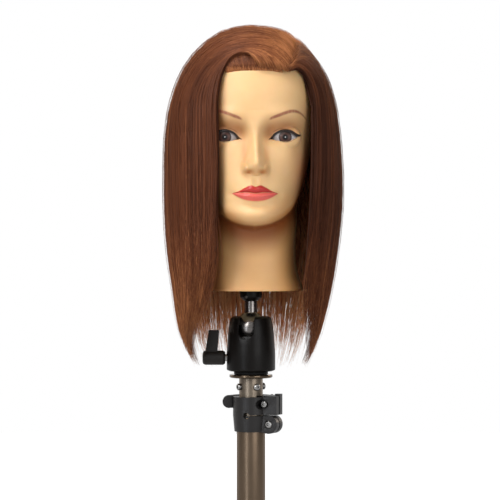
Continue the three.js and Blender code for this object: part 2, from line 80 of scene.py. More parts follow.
# ---------------------------------------------------------------- mesh helpers
def new_object(name, data):
    made = bpy.data.objects.new(name, data)
    bpy.context.scene.collection.objects.link(made)
    return made


def mesh_piece(name, verts_mm, faces, body):
    """An object from points in millimetres, riding on a body."""
    mesh = bpy.data.meshes.new(name)
    mesh.from_pydata((np.asarray(verts_mm) * MM).tolist(), [], [list(map(int, f)) for f in faces])
    mesh.validate()
    mesh.update()
    mesh.polygons.foreach_set("use_smooth", [True] * len(mesh.polygons))
    piece = new_object(name, mesh)
    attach(piece, body)
    return piece


def point_value(piece, name, values):
    """A number for each point of a mesh, which its material reads."""
    layer = piece.data.attributes.new(name, "FLOAT", "POINT")
    layer.data.foreach_set("value", np.asarray(values, dtype=np.float32))


def grid_faces(rows, columns):
    """Quads between rows of points; the columns join up round the piece."""
    faces = []
    for i in range(rows - 1):
        for j in range(columns):
            k = (j + 1) % columns
            faces.append((i * columns + j, i * columns + k, (i + 1) * columns + k, (i + 1) * columns + j))
    return faces


def turned_by_head(points):
    """Points of the head's own frame, turned as the head is on its post."""
    c, s = math.cos(HEAD_TURN), math.sin(HEAD_TURN)
    out = np.array(points, dtype=float)
    out[..., 0] = c * points[..., 0] - s * points[..., 1]
    out[..., 1] = s * points[..., 0] + c * points[..., 1]
    return out


def levels_at(levels, heights):
    """Rows of a table of levels at any heights, on a smooth curve through them."""
    table = np.asarray(levels, dtype=float)
    z, rows = table[:, 0], table[:, 1:]
    slopes = np.gradient(rows, z, axis=0)
    h = np.clip(np.asarray(heights, dtype=float), z[0], z[-1])
    k = np.clip(np.searchsorted(z, h) - 1, 0, len(z) - 2)
    step = (z[k + 1] - z[k])[..., None]
    t = ((h - z[k])[..., None]) / step
    a, b = rows[k], rows[k + 1]
    return (
        (2 * t**3 - 3 * t**2 + 1) * a
        + (t**3 - 2 * t**2 + t) * step * slopes[k]
        + (-2 * t**3 + 3 * t**2) * b
        + (t**3 - t**2) * step * slopes[k + 1]
    )


def smoothstep(low, high, value):
    t = np.clip((value - low) / (high - low), 0, 1)
    return t * t * (3 - 2 * t)


def between(start, full, ease, end, value):
    """1 from full to ease, falling away to 0 at start and at end."""
    return smoothstep(start, full, value) * smoothstep(end, ease, value)


def bump(x, z, x0, z0, width, height):
    """A soft round hill of height 1."""
    return np.exp(-(((x - x0) / width) ** 2) - ((z - z0) / height) ** 2)


def curve_z(points, x):
    """Height of a smooth curve through (x, z) points, at x."""
    return levels_at(points, x)[..., 0]


def bisected(low, high, is_inside, steps):
    """How far an inside reaches, along many lines at once: low is inside it, high is outside."""
    for _ in range(steps):
        mid = (low + high) / 2
        inside = is_inside(mid)
        low, high = np.where(inside, mid, low), np.where(inside, high, mid)
    return low


# ---------------------------------------------------------------- material helpers
class Nodes:
    """The node tree of a new material or world, built by short calls."""

    def __init__(self, name, kind="materials", shader="Principled BSDF"):
        self.made = getattr(bpy.data, kind).new(name)
        self.made.use_nodes = True
        self.tree = self.made.node_tree
        self.shader = self.tree.nodes[shader]

    def add(self, kind, inputs=None, **settings):
        node = self.tree.nodes.new(kind)
        for key, value in settings.items():
            setattr(node, key, value)
        for key, value in (inputs or {}).items():
            self.put(node.inputs[key], value)
        return node

    def put(self, socket, value):
        if isinstance(value, bpy.types.NodeSocket):
            self.tree.links.new(value, socket)
        else:
            socket.default_value = value

    def set(self, **values):
        for key, value in values.items():
            self.put(self.shader.inputs[key.replace("_", " ")], value)

    def coords(self, scale=(1, 1, 1)):
        where = self.add("ShaderNodeTexCoord").outputs["Object"]
        return self.add("ShaderNodeMapping", {"Vector": where, "Scale": scale}).outputs["Vector"]

    def noise(self, scale, detail=4, roughness=0.5, stretch=(1, 1, 1)):
        inputs = {"Vector": self.coords(stretch), "Scale": scale, "Detail": detail, "Roughness": roughness}
        return self.add("ShaderNodeTexNoise", inputs).outputs["Fac"]

    def ramp(self, value, stops):
        node = self.add("ShaderNodeValToRGB", {"Fac": value})
        ramp = node.color_ramp
        while len(ramp.elements) < len(stops):
            ramp.elements.new(0.5)
        for element, (place, colour) in zip(ramp.elements, stops):
            element.position = place
            element.color = (*colour, 1)
        return node.outputs["Color"]

    def mix(self, fac, a, b):
        node = self.add("ShaderNodeMix", data_type="RGBA")
        self.put(node.inputs[0], fac)
        self.put(node.inputs[6], (*a, 1) if isinstance(a, tuple) else a)
        self.put(node.inputs[7], (*b, 1) if isinstance(b, tuple) else b)
        return node.outputs[2]

    def value(self, name):
        return self.add("ShaderNodeAttribute", attribute_name=name).outputs["Fac"]

    def maths(self, operation, a, b=0.0):
        node = self.add("ShaderNodeMath", operation=operation)
        self.put(node.inputs[0], a)
        self.put(node.inputs[1], b)
        return node.outputs[0]

    def map(self, value, low, high, to_low, to_high):
        inputs = {"Value": value, "From Min": low, "From Max": high, "To Min": to_low, "To Max": to_high}
        return self.add("ShaderNodeMapRange", inputs).outputs[0]

    def bumps(self, height, strength, distance):
        node = self.add("ShaderNodeBump", {"Height": height, "Strength": strength, "Distance": distance})
        self.put(self.shader.inputs["Normal"], node.outputs["Normal"])


def dress(piece, material):
    piece.data.materials.clear()
    piece.data.materials.append(material)


# ---------------------------------------------------------------- head shape
# Height, middle in Y, reach to the front, reach to the back, half width.
SKULL = [
    [327.0, -74, 77.0, -72, 2],
    [328.6, -67, 82.5, -48, 12.5],
    [331.0, -58, 87.0, -22, 21.5],
    [334.6, -50, 90.5, -5, 30.0],
    [340.3, -40, 92.5, 12, 38.0],
    [347.0, -29, 92.0, 28, 44.5],
    [354.8, -17, 90.5, 44, 49.5],
    [363.0, -9, 90.0, 55, 53.4],
    [377.4, -2, 89.5, 72, 58.3],
    [398.0, 4, 89.5, 86, 63.6],
    [423.7, 8, 90.5, 94, 68.4],
    [446.4, 10, 95.0, 97, 72],
    [475, 12, 95.5, 96, 73.5],
    [497, 11, 89.5, 89, 68.5],
    [515, 10, 76.0, 75, 57],
    [529, 8, 54.0, 54, 40],
    [538, 8, 26.0, 30, 20],
    [540.9, 8, -7.0, 9, 1],
]
NECK_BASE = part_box("head_shell")[0][2] / MM
NECK = [
    [NECK_BASE, 5, 53.5, 61, 59.0],
    [261.5, 5, 51.5, 60, 57.5],
    [271, 5, 48.5, 58, 54.0],
    [286, 5, 46.5, 56, 50.8],
    [301, 5, 46.5, 56, 50.0],
    [313, 5, 49.5, 58, 50.0],
    [322, 5, 54.0, 60, 50.5],
    [336, 5, 60.0, 64, 51.0],
    [366, 5, 50.0, 64, 48.0],
    [400, 5, 30.0, 50, 40.0],
    [545, 5, 10.0, 15, 10.0],
]
OVAL = 2.27  # power of the oval sections
CROWN_POINT = np.array([0.0, 8.0, 541.0])
SHELL_WALL = 3.0
FACE_SCALE = 1.029  # the tables of the face are written this much smaller,
FACE_DROP = 13.5  # and this much higher at their zero
EYE = {"x": 31.6, "y": -71.0, "z": 425.0, "iris_z": 424.6, "across": 16.0, "deep": 12.0, "high": 13.0}
LID = 0.85
UPPER_LID = [[14, 421.4], [16, 422.9], [20.5, 427.2], [26, 429.7], [32.5, 430.2], [38.5, 428.6],
             [43.8, 425.4], [46.5, 423.8]]
LOWER_LID = [[14, 423.6], [16, 422.8], [20, 421.6], [26, 420.4], [31.5, 419.8], [37, 420.7], [41, 422.8],
             [43.8, 424.2], [46.5, 425.6]]
LINER = [[13.5, 421.6], [16, 423.3], [20, 427.5], [26, 430.5], [32.5, 431.2], [38.5, 429.9], [43.5, 427.0],
         [47, 426.6], [51, 428.2]]
LINER_HALF = [[13.5, 0.4], [20, 1.0], [27, 1.5], [36, 1.8], [43, 1.8], [46.5, 1.1], [50, 0.3]]
BROW = [[13, 442.2], [18, 444.6], [23.6, 446.7], [30.1, 449.2], [38.1, 451.6], [45, 451.2], [50, 448.9],
        [55.5, 443.8]]
BROW_HALF = [[12, 0.9], [16, 1.5], [24, 1.9], [33, 1.9], [42, 1.7], [50, 1.3], [55, 0.9], [57, 0.5]]
JAW = [[0, 327.5], [12, 328.8], [20, 331], [28, 334.6], [35, 339.5], [41, 345.5], [46, 353], [50, 361],
       [54, 372], [58, 388]]
NOSE_RIDGE = [[384, 0], [386.5, 5.5], [389, 11], [392, 16.5], [395.5, 19.2], [399, 19.2], [404, 16.6],
              [412, 12], [420, 8.2], [428, 5.2], [436, 3.2], [444, 1.5], [452, 0]]
NOSE_HALF = [[384, 7], [388, 7.5], [393, 8.3], [398, 8], [404, 6.6], [414, 5.8], [428, 6], [440, 9],
             [452, 12]]
NOSE_WING = {"stands": 7.6, "x": 9.6, "z": 391.6, "half": 4.5, "high": 5.3}
# Hills and hollows of the face: how far out, the middle across and up, half width, half height. One that
# isn't on the middle line is on both sides.
FACE_HILLS = {
    "chin": (3.2, 0, 342, 15, 8),
    "hollow under the lip": (-2.6, 0, 352.8, 15, 3.6),
    "round of the mouth": (5.0, 0, 371, 21, 15),
    "corner of the mouth": (-1.2, 25.5, 365, 4, 4),
    "groove over the lip": (-0.9, 0, 379, 2.6, 5),
    "edge of that groove": (0.5, 4.6, 378.5, 1.8, 5),
    "foot of the nose": (3.0, 0, 396, 15, 12),
    "nostril": (-3.2, 6.4, 387.2, 2.8, 1.6),
    "groove beside the nose": (-0.9, 15, 393, 2.6, 6),
    "cheek": (3.2, 41, 401, 17, 17),
    "hollow of the cheek": (-1.2, 46, 372, 12, 14),
    "eye socket": (-6.2, 29, 429, 16, 9.5),
    "inner corner of the socket": (-4.2, 15.5, 430, 6.5, 9),
    "ridge under the brow": (2.2, 33, 449, 19, 6.5),
}


def mirrored(half):
    """A curve of both sides of the face from the points of its right half."""
    return [[-x, z] for x, z in half[:0:-1]] + half


LIP_TOP = mirrored([[0, 372.6], [4.9, 374], [10.6, 371.8], [17, 368.2], [23.8, 365.6], [25, 364.8]])
LIP_LINE = mirrored([[0, 365.7], [5, 366.4], [12, 366.8], [23.8, 365.4], [25, 365]])
LIP_BOTTOM = mirrored([[0, 357.6], [5, 357.9], [12.1, 359.3], [18.4, 362.2], [23.8, 365.2], [25, 365.6]])


def to_face(x, z):
    """Coordinates in which the tables of the face are written."""
    return x / FACE_SCALE, (z + FACE_DROP) / FACE_SCALE


def from_face(x, z):
    return x * FACE_SCALE, z * FACE_SCALE - FACE_DROP


def section_radius(levels, heights, angles):
    """Reach of the oval sections along rays from the axis; angle 0 is the front, + is to +X."""
    row = levels_at(levels, heights)[:, None, :]
    middle, front, back, half = (row[..., i] for i in range(4))
    sx, sy = np.sin(angles)[None, :], -np.cos(angles)[None, :]

    def outside(r):
        x, y = r * sx, r * sy - middle
        depth = np.where(y < 0, front + middle, back - middle)
        return (np.abs(x) / half) ** OVAL + (np.abs(y) / np.maximum(depth, 0.5)) ** OVAL - 1

    found = np.zeros((len(heights), len(angles)))
    hit = np.zeros(found.shape, dtype=bool)
    step = 2.0
    for r in np.arange(130.0, 0, -step):
        inside = (outside(r) < 0) & ~hit
        found[inside] = r
        hit |= inside
    return np.where(hit, bisected(found, found + step, lambda r: outside(r) < 0, 14), 0.0)


def soft_max(a, b, width):
    h = np.clip(0.5 + 0.5 * (a - b) / width, 0, 1)
    return b * (1 - h) + a * h + width * h * (1 - h)


def skin_radius(heights, angles):
    """Reach of the plain head, with the turn from the throat to the jaw softened."""
    plain = plain_radius(heights, angles)
    jaw = (heights > 314) & (heights < 344)
    if jaw.any():
        steps = np.linspace(-4.5, 4.5, 13)
        weights = np.cos(steps / 4.5 * math.pi / 2.2)
        spread = sum(w * plain_radius(heights[jaw] + step, angles) for w, step in zip(weights, steps))
        strength = between(314, 320, 336, 344, heights[jaw])[:, None]
        plain[jaw] += strength * (spread / weights.sum() - plain[jaw])
    return plain


def plain_radius(heights, angles):
    skull = section_radius(SKULL, heights, angles)
    covered = (heights < SKULL[0][0])[:, None]
    neck = section_radius(NECK, heights, angles)
    return np.where(covered | (skull <= 0), neck, soft_max(skull, neck, 7.0))


def eye_front(x, z, grow=0.0):
    """Y of the eye's front surface; beyond its rim the surface falls away to the back."""
    a = (np.abs(x) - EYE["x"]) / (EYE["across"] + grow)
    b = (z - EYE["z"]) / (EYE["high"] + grow)
    inside = 1 - a * a - b * b
    bulge = (EYE["deep"] + grow) * np.sqrt(np.clip(inside, 0, None))
    return EYE["y"] - bulge - 40 * np.clip(inside, None, 0)


def eye_opening(x, z):
    """Millimetres inside the opening between the lids, negative outside."""
    side = np.abs(x)
    inside = np.minimum(curve_z(UPPER_LID, side) - z, z - curve_z(LOWER_LID, side))
    ends = np.minimum(side - UPPER_LID[0][0], UPPER_LID[-1][0] - side)
    return np.minimum(inside, ends)


def nose_shape(x, z):
    """How far the nose stands out of the face."""
    body = curve_z(NOSE_RIDGE, z) * np.exp(-np.abs(x / curve_z(NOSE_HALF, z)) ** 2.3)
    across = np.abs(np.abs(x) - NOSE_WING["x"]) / NOSE_WING["half"]
    up = np.abs(z - NOSE_WING["z"]) / NOSE_WING["high"]
    wings = NOSE_WING["stands"] * np.exp(-across**2.2 - up**2.3)
    return np.maximum(body, wings) * 0.55 + (body + wings) * 0.45


def lip_parts(x, z):
    """How far up each lip a point is, from 0 at the line between the lips to 1 at its edge."""
    line, top, bottom = (curve_z(c, x) for c in (LIP_LINE, LIP_TOP, LIP_BOTTOM))
    upper = (z - line) / np.maximum(top - line, 0.3)
    lower = (line - z) / np.maximum(line - bottom, 0.3)
    return upper, lower


def mouth_shape(x, z):
    """The two lips, and the line pressed in between them."""
    upper, lower = lip_parts(x, z)
    across = np.clip(1 - (x / 24.5) ** 2, 0, 1) ** 0.6
    up = np.where(upper > 0, np.clip(1 - np.abs(upper * 1.05 - 0.52) / 0.62, 0, 1), 0)
    down = np.where(lower > 0, np.clip(1 - np.abs(lower - 0.46) / 0.62, 0, 1), 0)
    lips = (2.7 * up ** 0.75 + 3.7 * down ** 0.7) * across
    line = 1.3 * np.exp(-((z - curve_z(LIP_LINE, x)) / 0.75) ** 2) * smoothstep(25.5, 22, np.abs(x))
    return lips - line


def face_shape(x, z):
    """Everything that stands out of, or is sunk into, the plain oval of the face."""
    hills = sum(out * bump(np.abs(x), z, *place) for out, *place in FACE_HILLS.values())
    return nose_shape(x, z) + mouth_shape(x, z) + hills


def soft_min(a, b, width):
    return -soft_max(-a, -b, width)


def skin_points(heights, angles, features=True):
    radius = skin_radius(heights, angles)
    x = radius * np.sin(angles)[None, :]
    y = -radius * np.cos(angles)[None, :]
    z = np.repeat(heights[:, None], len(angles), axis=1)
    if features:
        fx, fz = to_face(x, z)
        side = np.abs(fx)
        facing = smoothstep(-8, -42, y)
        y = y - face_shape(fx, fz) * facing
        lids = eye_front(fx, fz, LID)
        near = (side > 11) & (side < 52) & (fz > 408) & (fz < 442) & (y < 0)
        y = np.where(near, soft_min(y, lids, 2.2), y)
        opening = smoothstep(-0.25, 0.45, eye_opening(fx, fz))
        above = fz - curve_z(UPPER_LID, side)
        crease = 0.8 * np.exp(-((above - 3.3) / 0.8) ** 2) * between(16, 22, 44, 49, side)
        y = np.where(near, y + crease, y)
        behind = eye_front(fx, fz) + 1.6
        y = np.where(near & (opening > 0), y + (np.maximum(behind, y) - y) * opening, y)
    return np.stack([x, y, z], axis=-1)


def graded(stops):
    """Values from a list of (value, step): each stretch is cut into its own steps."""
    out = []
    for (start, step), (end, _) in zip(stops[:-1], stops[1:]):
        count = max(1, round((end - start) / step))
        out.extend(np.linspace(start, end, count, endpoint=False))
    out.append(stops[-1][0])
    return np.array(out)


def inner_surface(heights, angles, wall):
    """The inside of the vinyl: the plain head less its wall, and deeper behind the eyes."""
    points = skin_points(heights, angles, features=False)
    x, y, z = points[..., 0], points[..., 1], points[..., 2]
    fx, fz = to_face(x, z)
    room = wall + 17 * bump(np.abs(fx), fz, EYE["x"], EYE["z"], 18, 16) * (y < 0)
    reach = np.maximum(np.hypot(x, y), 1.0)
    keep = np.clip(1 - room / reach, 0.05, 1)
    return np.stack([x * keep, y * keep, z], axis=-1)


def closed_rings(sheets, poles):
    """Sheets of rings, each sheet closed at a pole: the outside going up and the inside coming down."""
    outside, inside = sheets
    columns = outside.shape[1]
    count = outside.shape[0] * columns
    faces = grid_faces(outside.shape[0], columns)
    faces += [tuple(count + i for i in face) for face in grid_faces(inside.shape[0], columns)]
    total = count + inside.shape[0] * columns
    for j in range(columns):
        k = (j + 1) % columns
        faces.append((count - columns + j, count - columns + k, total))
        faces.append((count + k, count + j, total + 1))
        faces.append((k, j, total - columns + j, total - columns + k))
    verts = np.vstack([outside.reshape(-1, 3), inside.reshape(-1, 3), np.array(poles)])
    return verts, faces


def make_foam():
    """The foam that fills the shell, cut out for the neck's insert."""
    heights = graded([(NECK[0][0] + 4, 4), (520, 2.5), (537, 1)])
    angles = np.radians(np.arange(-180, 180, 4.0))
    outside = inner_surface(heights, angles, SHELL_WALL + 0.5)
    low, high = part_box("neck_insert")
    reach = (high[0] - low[0]) / 2 / MM + GAP
    ceiling = high[2] / MM + GAP
    ring = np.stack([reach * np.sin(angles), -reach * np.cos(angles)], axis=-1)
    hole = np.array([np.column_stack([ring, np.full(len(angles), z)]) for z in (ceiling, heights[0])])
    verts, faces = closed_rings([outside, hole], [(0, 8, 537.5), (0, 0, ceiling)])
    piece = mesh_piece("foam_filling", turned_by_head(verts), faces, "head")
    n = Nodes("moulded foam")
    cells = n.noise(260, 6, 0.7)
    n.set(Base_Color=n.ramp(cells, [(0.35, (0.55, 0.46, 0.25)), (0.65, (0.78, 0.7, 0.46))]), Roughness=0.92)
    n.bumps(cells, 0.5, 0.0008)
    dress(piece, n.made)
    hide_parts("foam_core")


def make_head():
    heights = graded([(NECK_BASE, 2.4), (312, 1.0), (324, 0.5), (351, 0.45), (373, 0.7), (381, 0.5),
                      (400, 0.9), (415, 0.42), (433, 0.8), (456, 1.6), (500, 2.2), (540.9, 1)])
    right = graded([(0, 0.3), (37, 0.6), (52, 1.5), (90, 4), (180, 1)])
    angles = np.radians(np.concatenate([-right[:0:-1], right[:-1]]))
    points = skin_points(heights, angles)
    rows, columns = points.shape[:2]
    x, y, z = points[..., 0], points[..., 1], points[..., 2]
    front = y < -20

    levels = heights[::6]
    inner = inner_surface(levels[levels < CROWN_POINT[2] - 5], angles, SHELL_WALL)
    verts, faces = closed_rings([points, inner[::-1]], [CROWN_POINT, CROWN_POINT - (0, 0, SHELL_WALL)])
    piece = mesh_piece("vinyl_head", turned_by_head(verts), faces, "head")
    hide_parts("head_shell")
    extra = len(verts) - rows * columns

    def paint(name, values):
        point_value(piece, name, np.concatenate([np.where(front, values, 0).reshape(-1), np.zeros(extra)]))

    under = curve_z(JAW, np.abs(x)) - z
    # Painted shadow under the chin and jaw, darkest just below the jaw line.
    paint("throat", smoothstep(-2.2, 0.8, under) * (0.1 + 0.9 * smoothstep(40, 4, under)))
    # Painted shadow of the hair on the left side of the face.
    paint("painted_hair_shadow", smoothstep(-28, -40.5, x) * smoothstep(500, 480, z))
    # Painted shade along and under the jaw, broader on the right side, away from the light.
    below = smoothstep(-17, -1, under) * (0.5 + 0.5 * smoothstep(8, 30, np.abs(x)))
    shade_side = 0.6 * smoothstep(-36, -4, under) * smoothstep(4, 28, x)
    paint("jaw", np.maximum(below, shade_side) * smoothstep(3.5, 0, under))
    # Painted shade on the sides of the neck.
    paint("painted_neck_shade", (0.4 + 0.6 * smoothstep(18, 46, np.abs(x))) * smoothstep(-2, 4, under))
    x, z = to_face(x, z)
    side = np.abs(x)
    upper, lower = lip_parts(x, z)
    edge = smoothstep(24.6, 23.2, side)
    paint("lip_upper", between(-0.06, 0.06, 0.94, 1.06, upper) * edge)
    paint("lip_lower", between(-0.02, 0.1, 0.93, 1.05, lower) * edge)
    half_brow = curve_z(BROW_HALF, side)
    brow = smoothstep(half_brow + 0.6, half_brow - 1.0, np.abs(z - curve_z(BROW, side)))
    paint("brow", brow * between(12.5, 17, 53, 57, side))
    half_line = curve_z(LINER_HALF, side)
    liner = smoothstep(half_line + 0.35, half_line - 0.2, np.abs(z - curve_z(LINER, side)))
    paint("liner", liner * between(13.5, 15, 48, 50, side))
    lashes = np.abs(z - curve_z(LOWER_LID, side) + 0.5)
    paint("lower_lashes", smoothstep(0.75, 0.2, lashes) * between(22, 34, 45, 47, side))
    # Painted shade in the crease above the upper lid.
    crease = np.abs(z - curve_z(UPPER_LID, side) - 3.4)
    paint("crease", smoothstep(1.0, 0.2, crease) * between(17, 22, 42, 47, side))
    # Painted eye shadow between the lid and the brow, and painted shade in the inner corner of the eye
    # socket.
    paint("eyeshadow_and_socket_shade", np.clip(bump(side, z, 33, 436, 17, 8) + 0.9 * bump(side, z, 16, 429, 7, 9), 0, 1))
    paint("blush", bump(side, z, 59, 389, 15, 21))
    # Painted shade where the face turns away at the sides.
    paint("painted_side_shade", smoothstep(46, 70, side))
    # Painted shade beside the nose and in the nostrils.
    shade_beside_nose = 0.45 * bump(side, z, 11.5, 407, 3.6, 22)
    paint("nostril", np.clip(bump(side, z, 6.8, 388.2, 4.6, 2.4) + shade_beside_nose, 0, 1))
    return piece


def skin_material():
    """Vinyl under coats of paint and of painted shade and shadow; each coat's value says how strong it is at
    each point.
    """
    n = Nodes("vinyl skin")
    tone = n.noise(38, 3, 0.55)
    fine = n.noise(900, 3, 0.6)
    brow_hairs = n.map(n.noise(420, 2, 0.5, (1, 1, 0.35)), 0.3, 0.62, 0.66, 0.88)
    colour = n.ramp(tone, [(0.3, (0.72, 0.45, 0.215)), (0.7, (0.77, 0.495, 0.24))])
    coats = [
        # Painted shade at the sides of the face.
        ("painted_side_shade", 0.75, (0.85, 0.38, 0.12)),
        # Painted shade along and under the jaw.
        ("jaw", 0.8, (0.46, 0.17, 0.04)),
        # Painted shade on the sides of the neck.
        ("painted_neck_shade", 0.5, (0.86, 0.35, 0.07)),
        # Painted shadow under the chin and jaw.
        ("throat", 0.97, (0.22, 0.055, 0.01)),
        ("blush", 0.75, (0.72, 0.2, 0.075)),
        # Painted eye shadow, with painted shade in the inner corner of the socket.
        ("eyeshadow_and_socket_shade", 0.85, (0.38, 0.155, 0.055)),
        # Painted shade in the nostrils and beside the nose.
        ("nostril", 0.8, (0.44, 0.14, 0.026)),
        # Painted shadow of the hair beside the face.
        ("painted_hair_shadow", 0.85, (0.22, 0.062, 0.015)),
        ("brow", brow_hairs, (0.26, 0.07, 0.045)),
        # Painted shade in the crease above the upper lid.
        ("crease", 0.55, (0.28, 0.1, 0.04)),
        ("liner", 1.0, (0.018, 0.012, 0.01)),
        ("lower_lashes", 0.6, (0.09, 0.035, 0.02)),
        ("lip_upper", 1.0, n.ramp(fine, [(0.3, (0.42, 0.028, 0.026)), (0.7, (0.5, 0.04, 0.035))])),
        ("lip_lower", 1.0, n.ramp(fine, [(0.3, (0.66, 0.105, 0.085)), (0.7, (0.72, 0.13, 0.105))])),
    ]
    for where, strength, paint in coats:
        colour = n.mix(n.maths("MULTIPLY", n.value(where), strength), colour, paint)
    lips = n.maths("MAXIMUM", n.value("lip_upper"), n.value("lip_lower"))
    n.set(Base_Color=colour, Roughness=n.map(lips, 0, 1, 0.46, 0.3), Specular_IOR_Level=0.34,
          Subsurface_Weight=0.22, Subsurface_Radius=(0.012, 0.005, 0.002), Subsurface_Scale=0.4)
    n.bumps(fine, 0.06, 0.0003)
    return n.made


# ---------------------------------------------------------------- eyes
def make_eye(side, name, node):
    across, deep, high = EYE["across"], EYE["deep"], EYE["high"]
    rings, sectors = 60, 96
    polar = np.linspace(0.02, math.pi / 2, rings)
    turn = np.linspace(0, 2 * math.pi, sectors, endpoint=False)
    u = np.sin(polar)[:, None] * np.cos(turn)[None, :]
    w = np.sin(polar)[:, None] * np.sin(turn)[None, :]
    d = np.cos(polar)[:, None] * np.ones_like(u)
    from_iris = np.hypot(u * across, w * high)
    cornea = 0.7 * smoothstep(6.6, 0, from_iris)
    x = side * EYE["x"] + u * across
    z = EYE["z"] + w * high
    y = EYE["y"] - d * deep - cornea
    head_x, head_z = from_face(x, z)
    points = turned_by_head(np.stack([head_x, y, head_z], axis=-1)).reshape(-1, 3)
    faces = [tuple(reversed(f)) for f in grid_faces(rings, sectors)]
    middle_x, middle_z = from_face(side * EYE["x"], EYE["z"])
    front = turned_by_head(np.array([[middle_x, EYE["y"] - deep - 0.7, middle_z]]))
    back = turned_by_head(np.array([[middle_x, EYE["y"] + 6.0, middle_z]]))
    count = rings * sectors
    for j in range(sectors):
        k = (j + 1) % sectors
        faces.append((j, k, count))
        faces.append(((rings - 1) * sectors + k, (rings - 1) * sectors + j, count + 1))
    piece = mesh_piece(name, np.vstack([points, front, back]), faces, "head")
    from_x, from_z = x - side * EYE["x"], z - EYE["iris_z"]
    shade = smoothstep(3.2, 0.2, curve_z(UPPER_LID, np.abs(x)) - z)
    fibres = np.cos(np.arctan2(from_z, from_x) * 23)
    radius = np.hypot(from_x, from_z)
    rows = (("iris_radius", radius, 20), ("lid_shade", shade, 0), ("iris_turn", fibres, 0))
    for value, values, at_back in rows:
        point_value(piece, value, np.concatenate([values.reshape(-1), [0, at_back]]))
    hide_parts(node)
    return piece


def eye_material():
    n = Nodes("glazed eye")
    radius = n.maths("DIVIDE", n.value("iris_radius"), 10.0)
    grain = n.map(n.noise(1500, 3, 0.6), 0.3, 0.7, -0.01, 0.01)
    fibres = n.maths("ADD", n.maths("MULTIPLY", n.value("iris_turn"), 0.012), grain)
    rings = n.ramp(n.maths("ADD", radius, fibres), [
        (0.23, (0.005, 0.003, 0.003)), (0.29, (0.03, 0.012, 0.009)), (0.4, (0.075, 0.032, 0.023)),
        (0.55, (0.052, 0.023, 0.018)), (0.65, (0.016, 0.008, 0.007)), (0.72, (0.34, 0.31, 0.31)),
    ])
    # A painted highlight in the middle of the pupil.
    painted_glint = n.map(radius, 0.03, 0.075, 0.75, 0.0)
    colour = n.mix(painted_glint, rings, (0.9, 0.9, 0.9))
    colour = n.mix(n.maths("MULTIPLY", n.value("lid_shade"), 0.8), colour, (0.02, 0.012, 0.01))
    n.set(Base_Color=colour, Roughness=0.34, Specular_IOR_Level=0.3)
    return n.made


# ---------------------------------------------------------------- hair
# Height, then how far the hair reaches to the left, right, front and back of the axis.
HAIR = [
    [172, 61, 60, 56, 85],
    [186, 70, 68, 62, 90],
    [203, 77.5, 75, 68, 93],
    [229, 83.5, 82.5, 76, 97],
    [259, 87, 89.5, 84, 101],
    [287, 91.5, 94, 88, 104],
    [317, 94.5, 98, 91, 107],
    [353, 96, 101, 94, 110],
    [385, 96, 101, 98, 112],
    [418, 95.5, 99, 101, 112],
    [446, 93, 96, 104, 111],
    [470, 87.5, 91, 104, 107],
    [495, 78, 82, 99, 98],
    [518, 63, 66, 87, 82],
    [535, 44, 49, 66, 60],
    [545, 24, 29, 38, 34],
    [550, 1, 1, 1, 1],
]
HEART = np.array([0.0, 0.0, 440.0])  # the hair on top is laid out as seen from here
HANG_FROM = 455.0  # height at which the hair starts to hang straight
EDGE_LEFT, EDGE_RIGHT = -21.3, 43.5  # degrees from the front at which the hair beside the face starts
TIP_LEFT, TIP_RIGHT = -74.0, 76.0  # degrees at which the two front locks come to a point
# The parting, from the forehead to the crown: X, Y and Z.
PART = [[42, -88, 497], [46, -72, 511], [49, -48, 524], [49, -15, 532], [44, 18, 535], [32, 44, 530]]
HAIR_OVAL = 2.15  # power of the oval sections of the hair
MANTLE = {"depth": 7.0, "depth_on_top": 5.6, "wall": 2.2, "foot": 262, "foot_at_locks": 240, "pole": 560.0}
HAIRLINE_Z = 492.6
STRANDS = 1400  # in a piece of hair
ROOTS = 1100  # short hairs along the hairline
STRAYS = 240
CLUMP, NAPE_CLUMP = 1.15, 1.6  # width of a clump of hairs, in degrees round the head
CLUMP_VALUES = 4096  # random values, one for each clump
HAIR_LAYER = 6.0  # thickness of the loose hair over the dense mantle
SIDE_ENDS = (174, 262, 0.9)  # lowest and highest end, and how the ends are spread between them
BACK_ENDS = (174, 258, 0.5)
# The node replaced, the side, the span from the front edge to the back, the ends, the strands' width, and
# how much lighter than the rest, lowest on the right side as painted shade away from the light.
HAIR_GROUPS = [
    ("hair_front_sweep", -1, (0.0, 0.17), SIDE_ENDS, 0.85, -0.06),
    ("hair_left_side", -1, (0.14, 0.46), SIDE_ENDS, 0.9, -0.06),
    ("hair_back_left", -1, (0.42, 0.75), BACK_ENDS, 0.9, 0.0),
    ("hair_back_centre", -1, (0.7, 1.0), (174, 256, 0.5), 0.9, 0.0),
    ("hair_right_side", 1, (0.0, 0.36), SIDE_ENDS, 0.85, -0.18),
    ("hair_back_right", 1, (0.33, 1.0), (174, 258, 0.52), 0.95, -0.06),
]
NAPE_ENDS = (168, 262, 0.8)
STRAY_ENDS = (172, 330, 2.0)


def hair_reach(angle, z):
    """Distance from the axis to the outside of the hair; angle 0 is the front, + is to the right."""
    row = levels_at(HAIR, z)
    left, right, front, back = (row[..., i] for i in range(4))
    s, c = np.sin(angle), np.cos(angle)
    across = np.abs(s) / np.where(s < 0, left, right)
    along = np.abs(c) / np.where(c > 0, front, back)
    return (across**HAIR_OVAL + along**HAIR_OVAL) ** (-1 / HAIR_OVAL)


def around(angle, z, depth):
    """Points at a depth under the outside of the hair."""
    reach = hair_reach(angle, z) - depth
    return np.stack([reach * np.sin(angle), -reach * np.cos(angle), z], axis=-1)


def crown_reach(direction):
    """Distance from the heart to the outside of the hair along directions above the level."""
    angle = np.arctan2(direction[..., 0], -direction[..., 1])
    flat = np.hypot(direction[..., 0], direction[..., 1])

    def is_inside(r):
        z = HEART[2] + direction[..., 2] * r
        return (flat * r < hair_reach(angle, z)) & (z < HAIR[-1][0])

    return bisected(np.full(angle.shape, 40.0), np.full(angle.shape, 140.0), is_inside, 18)


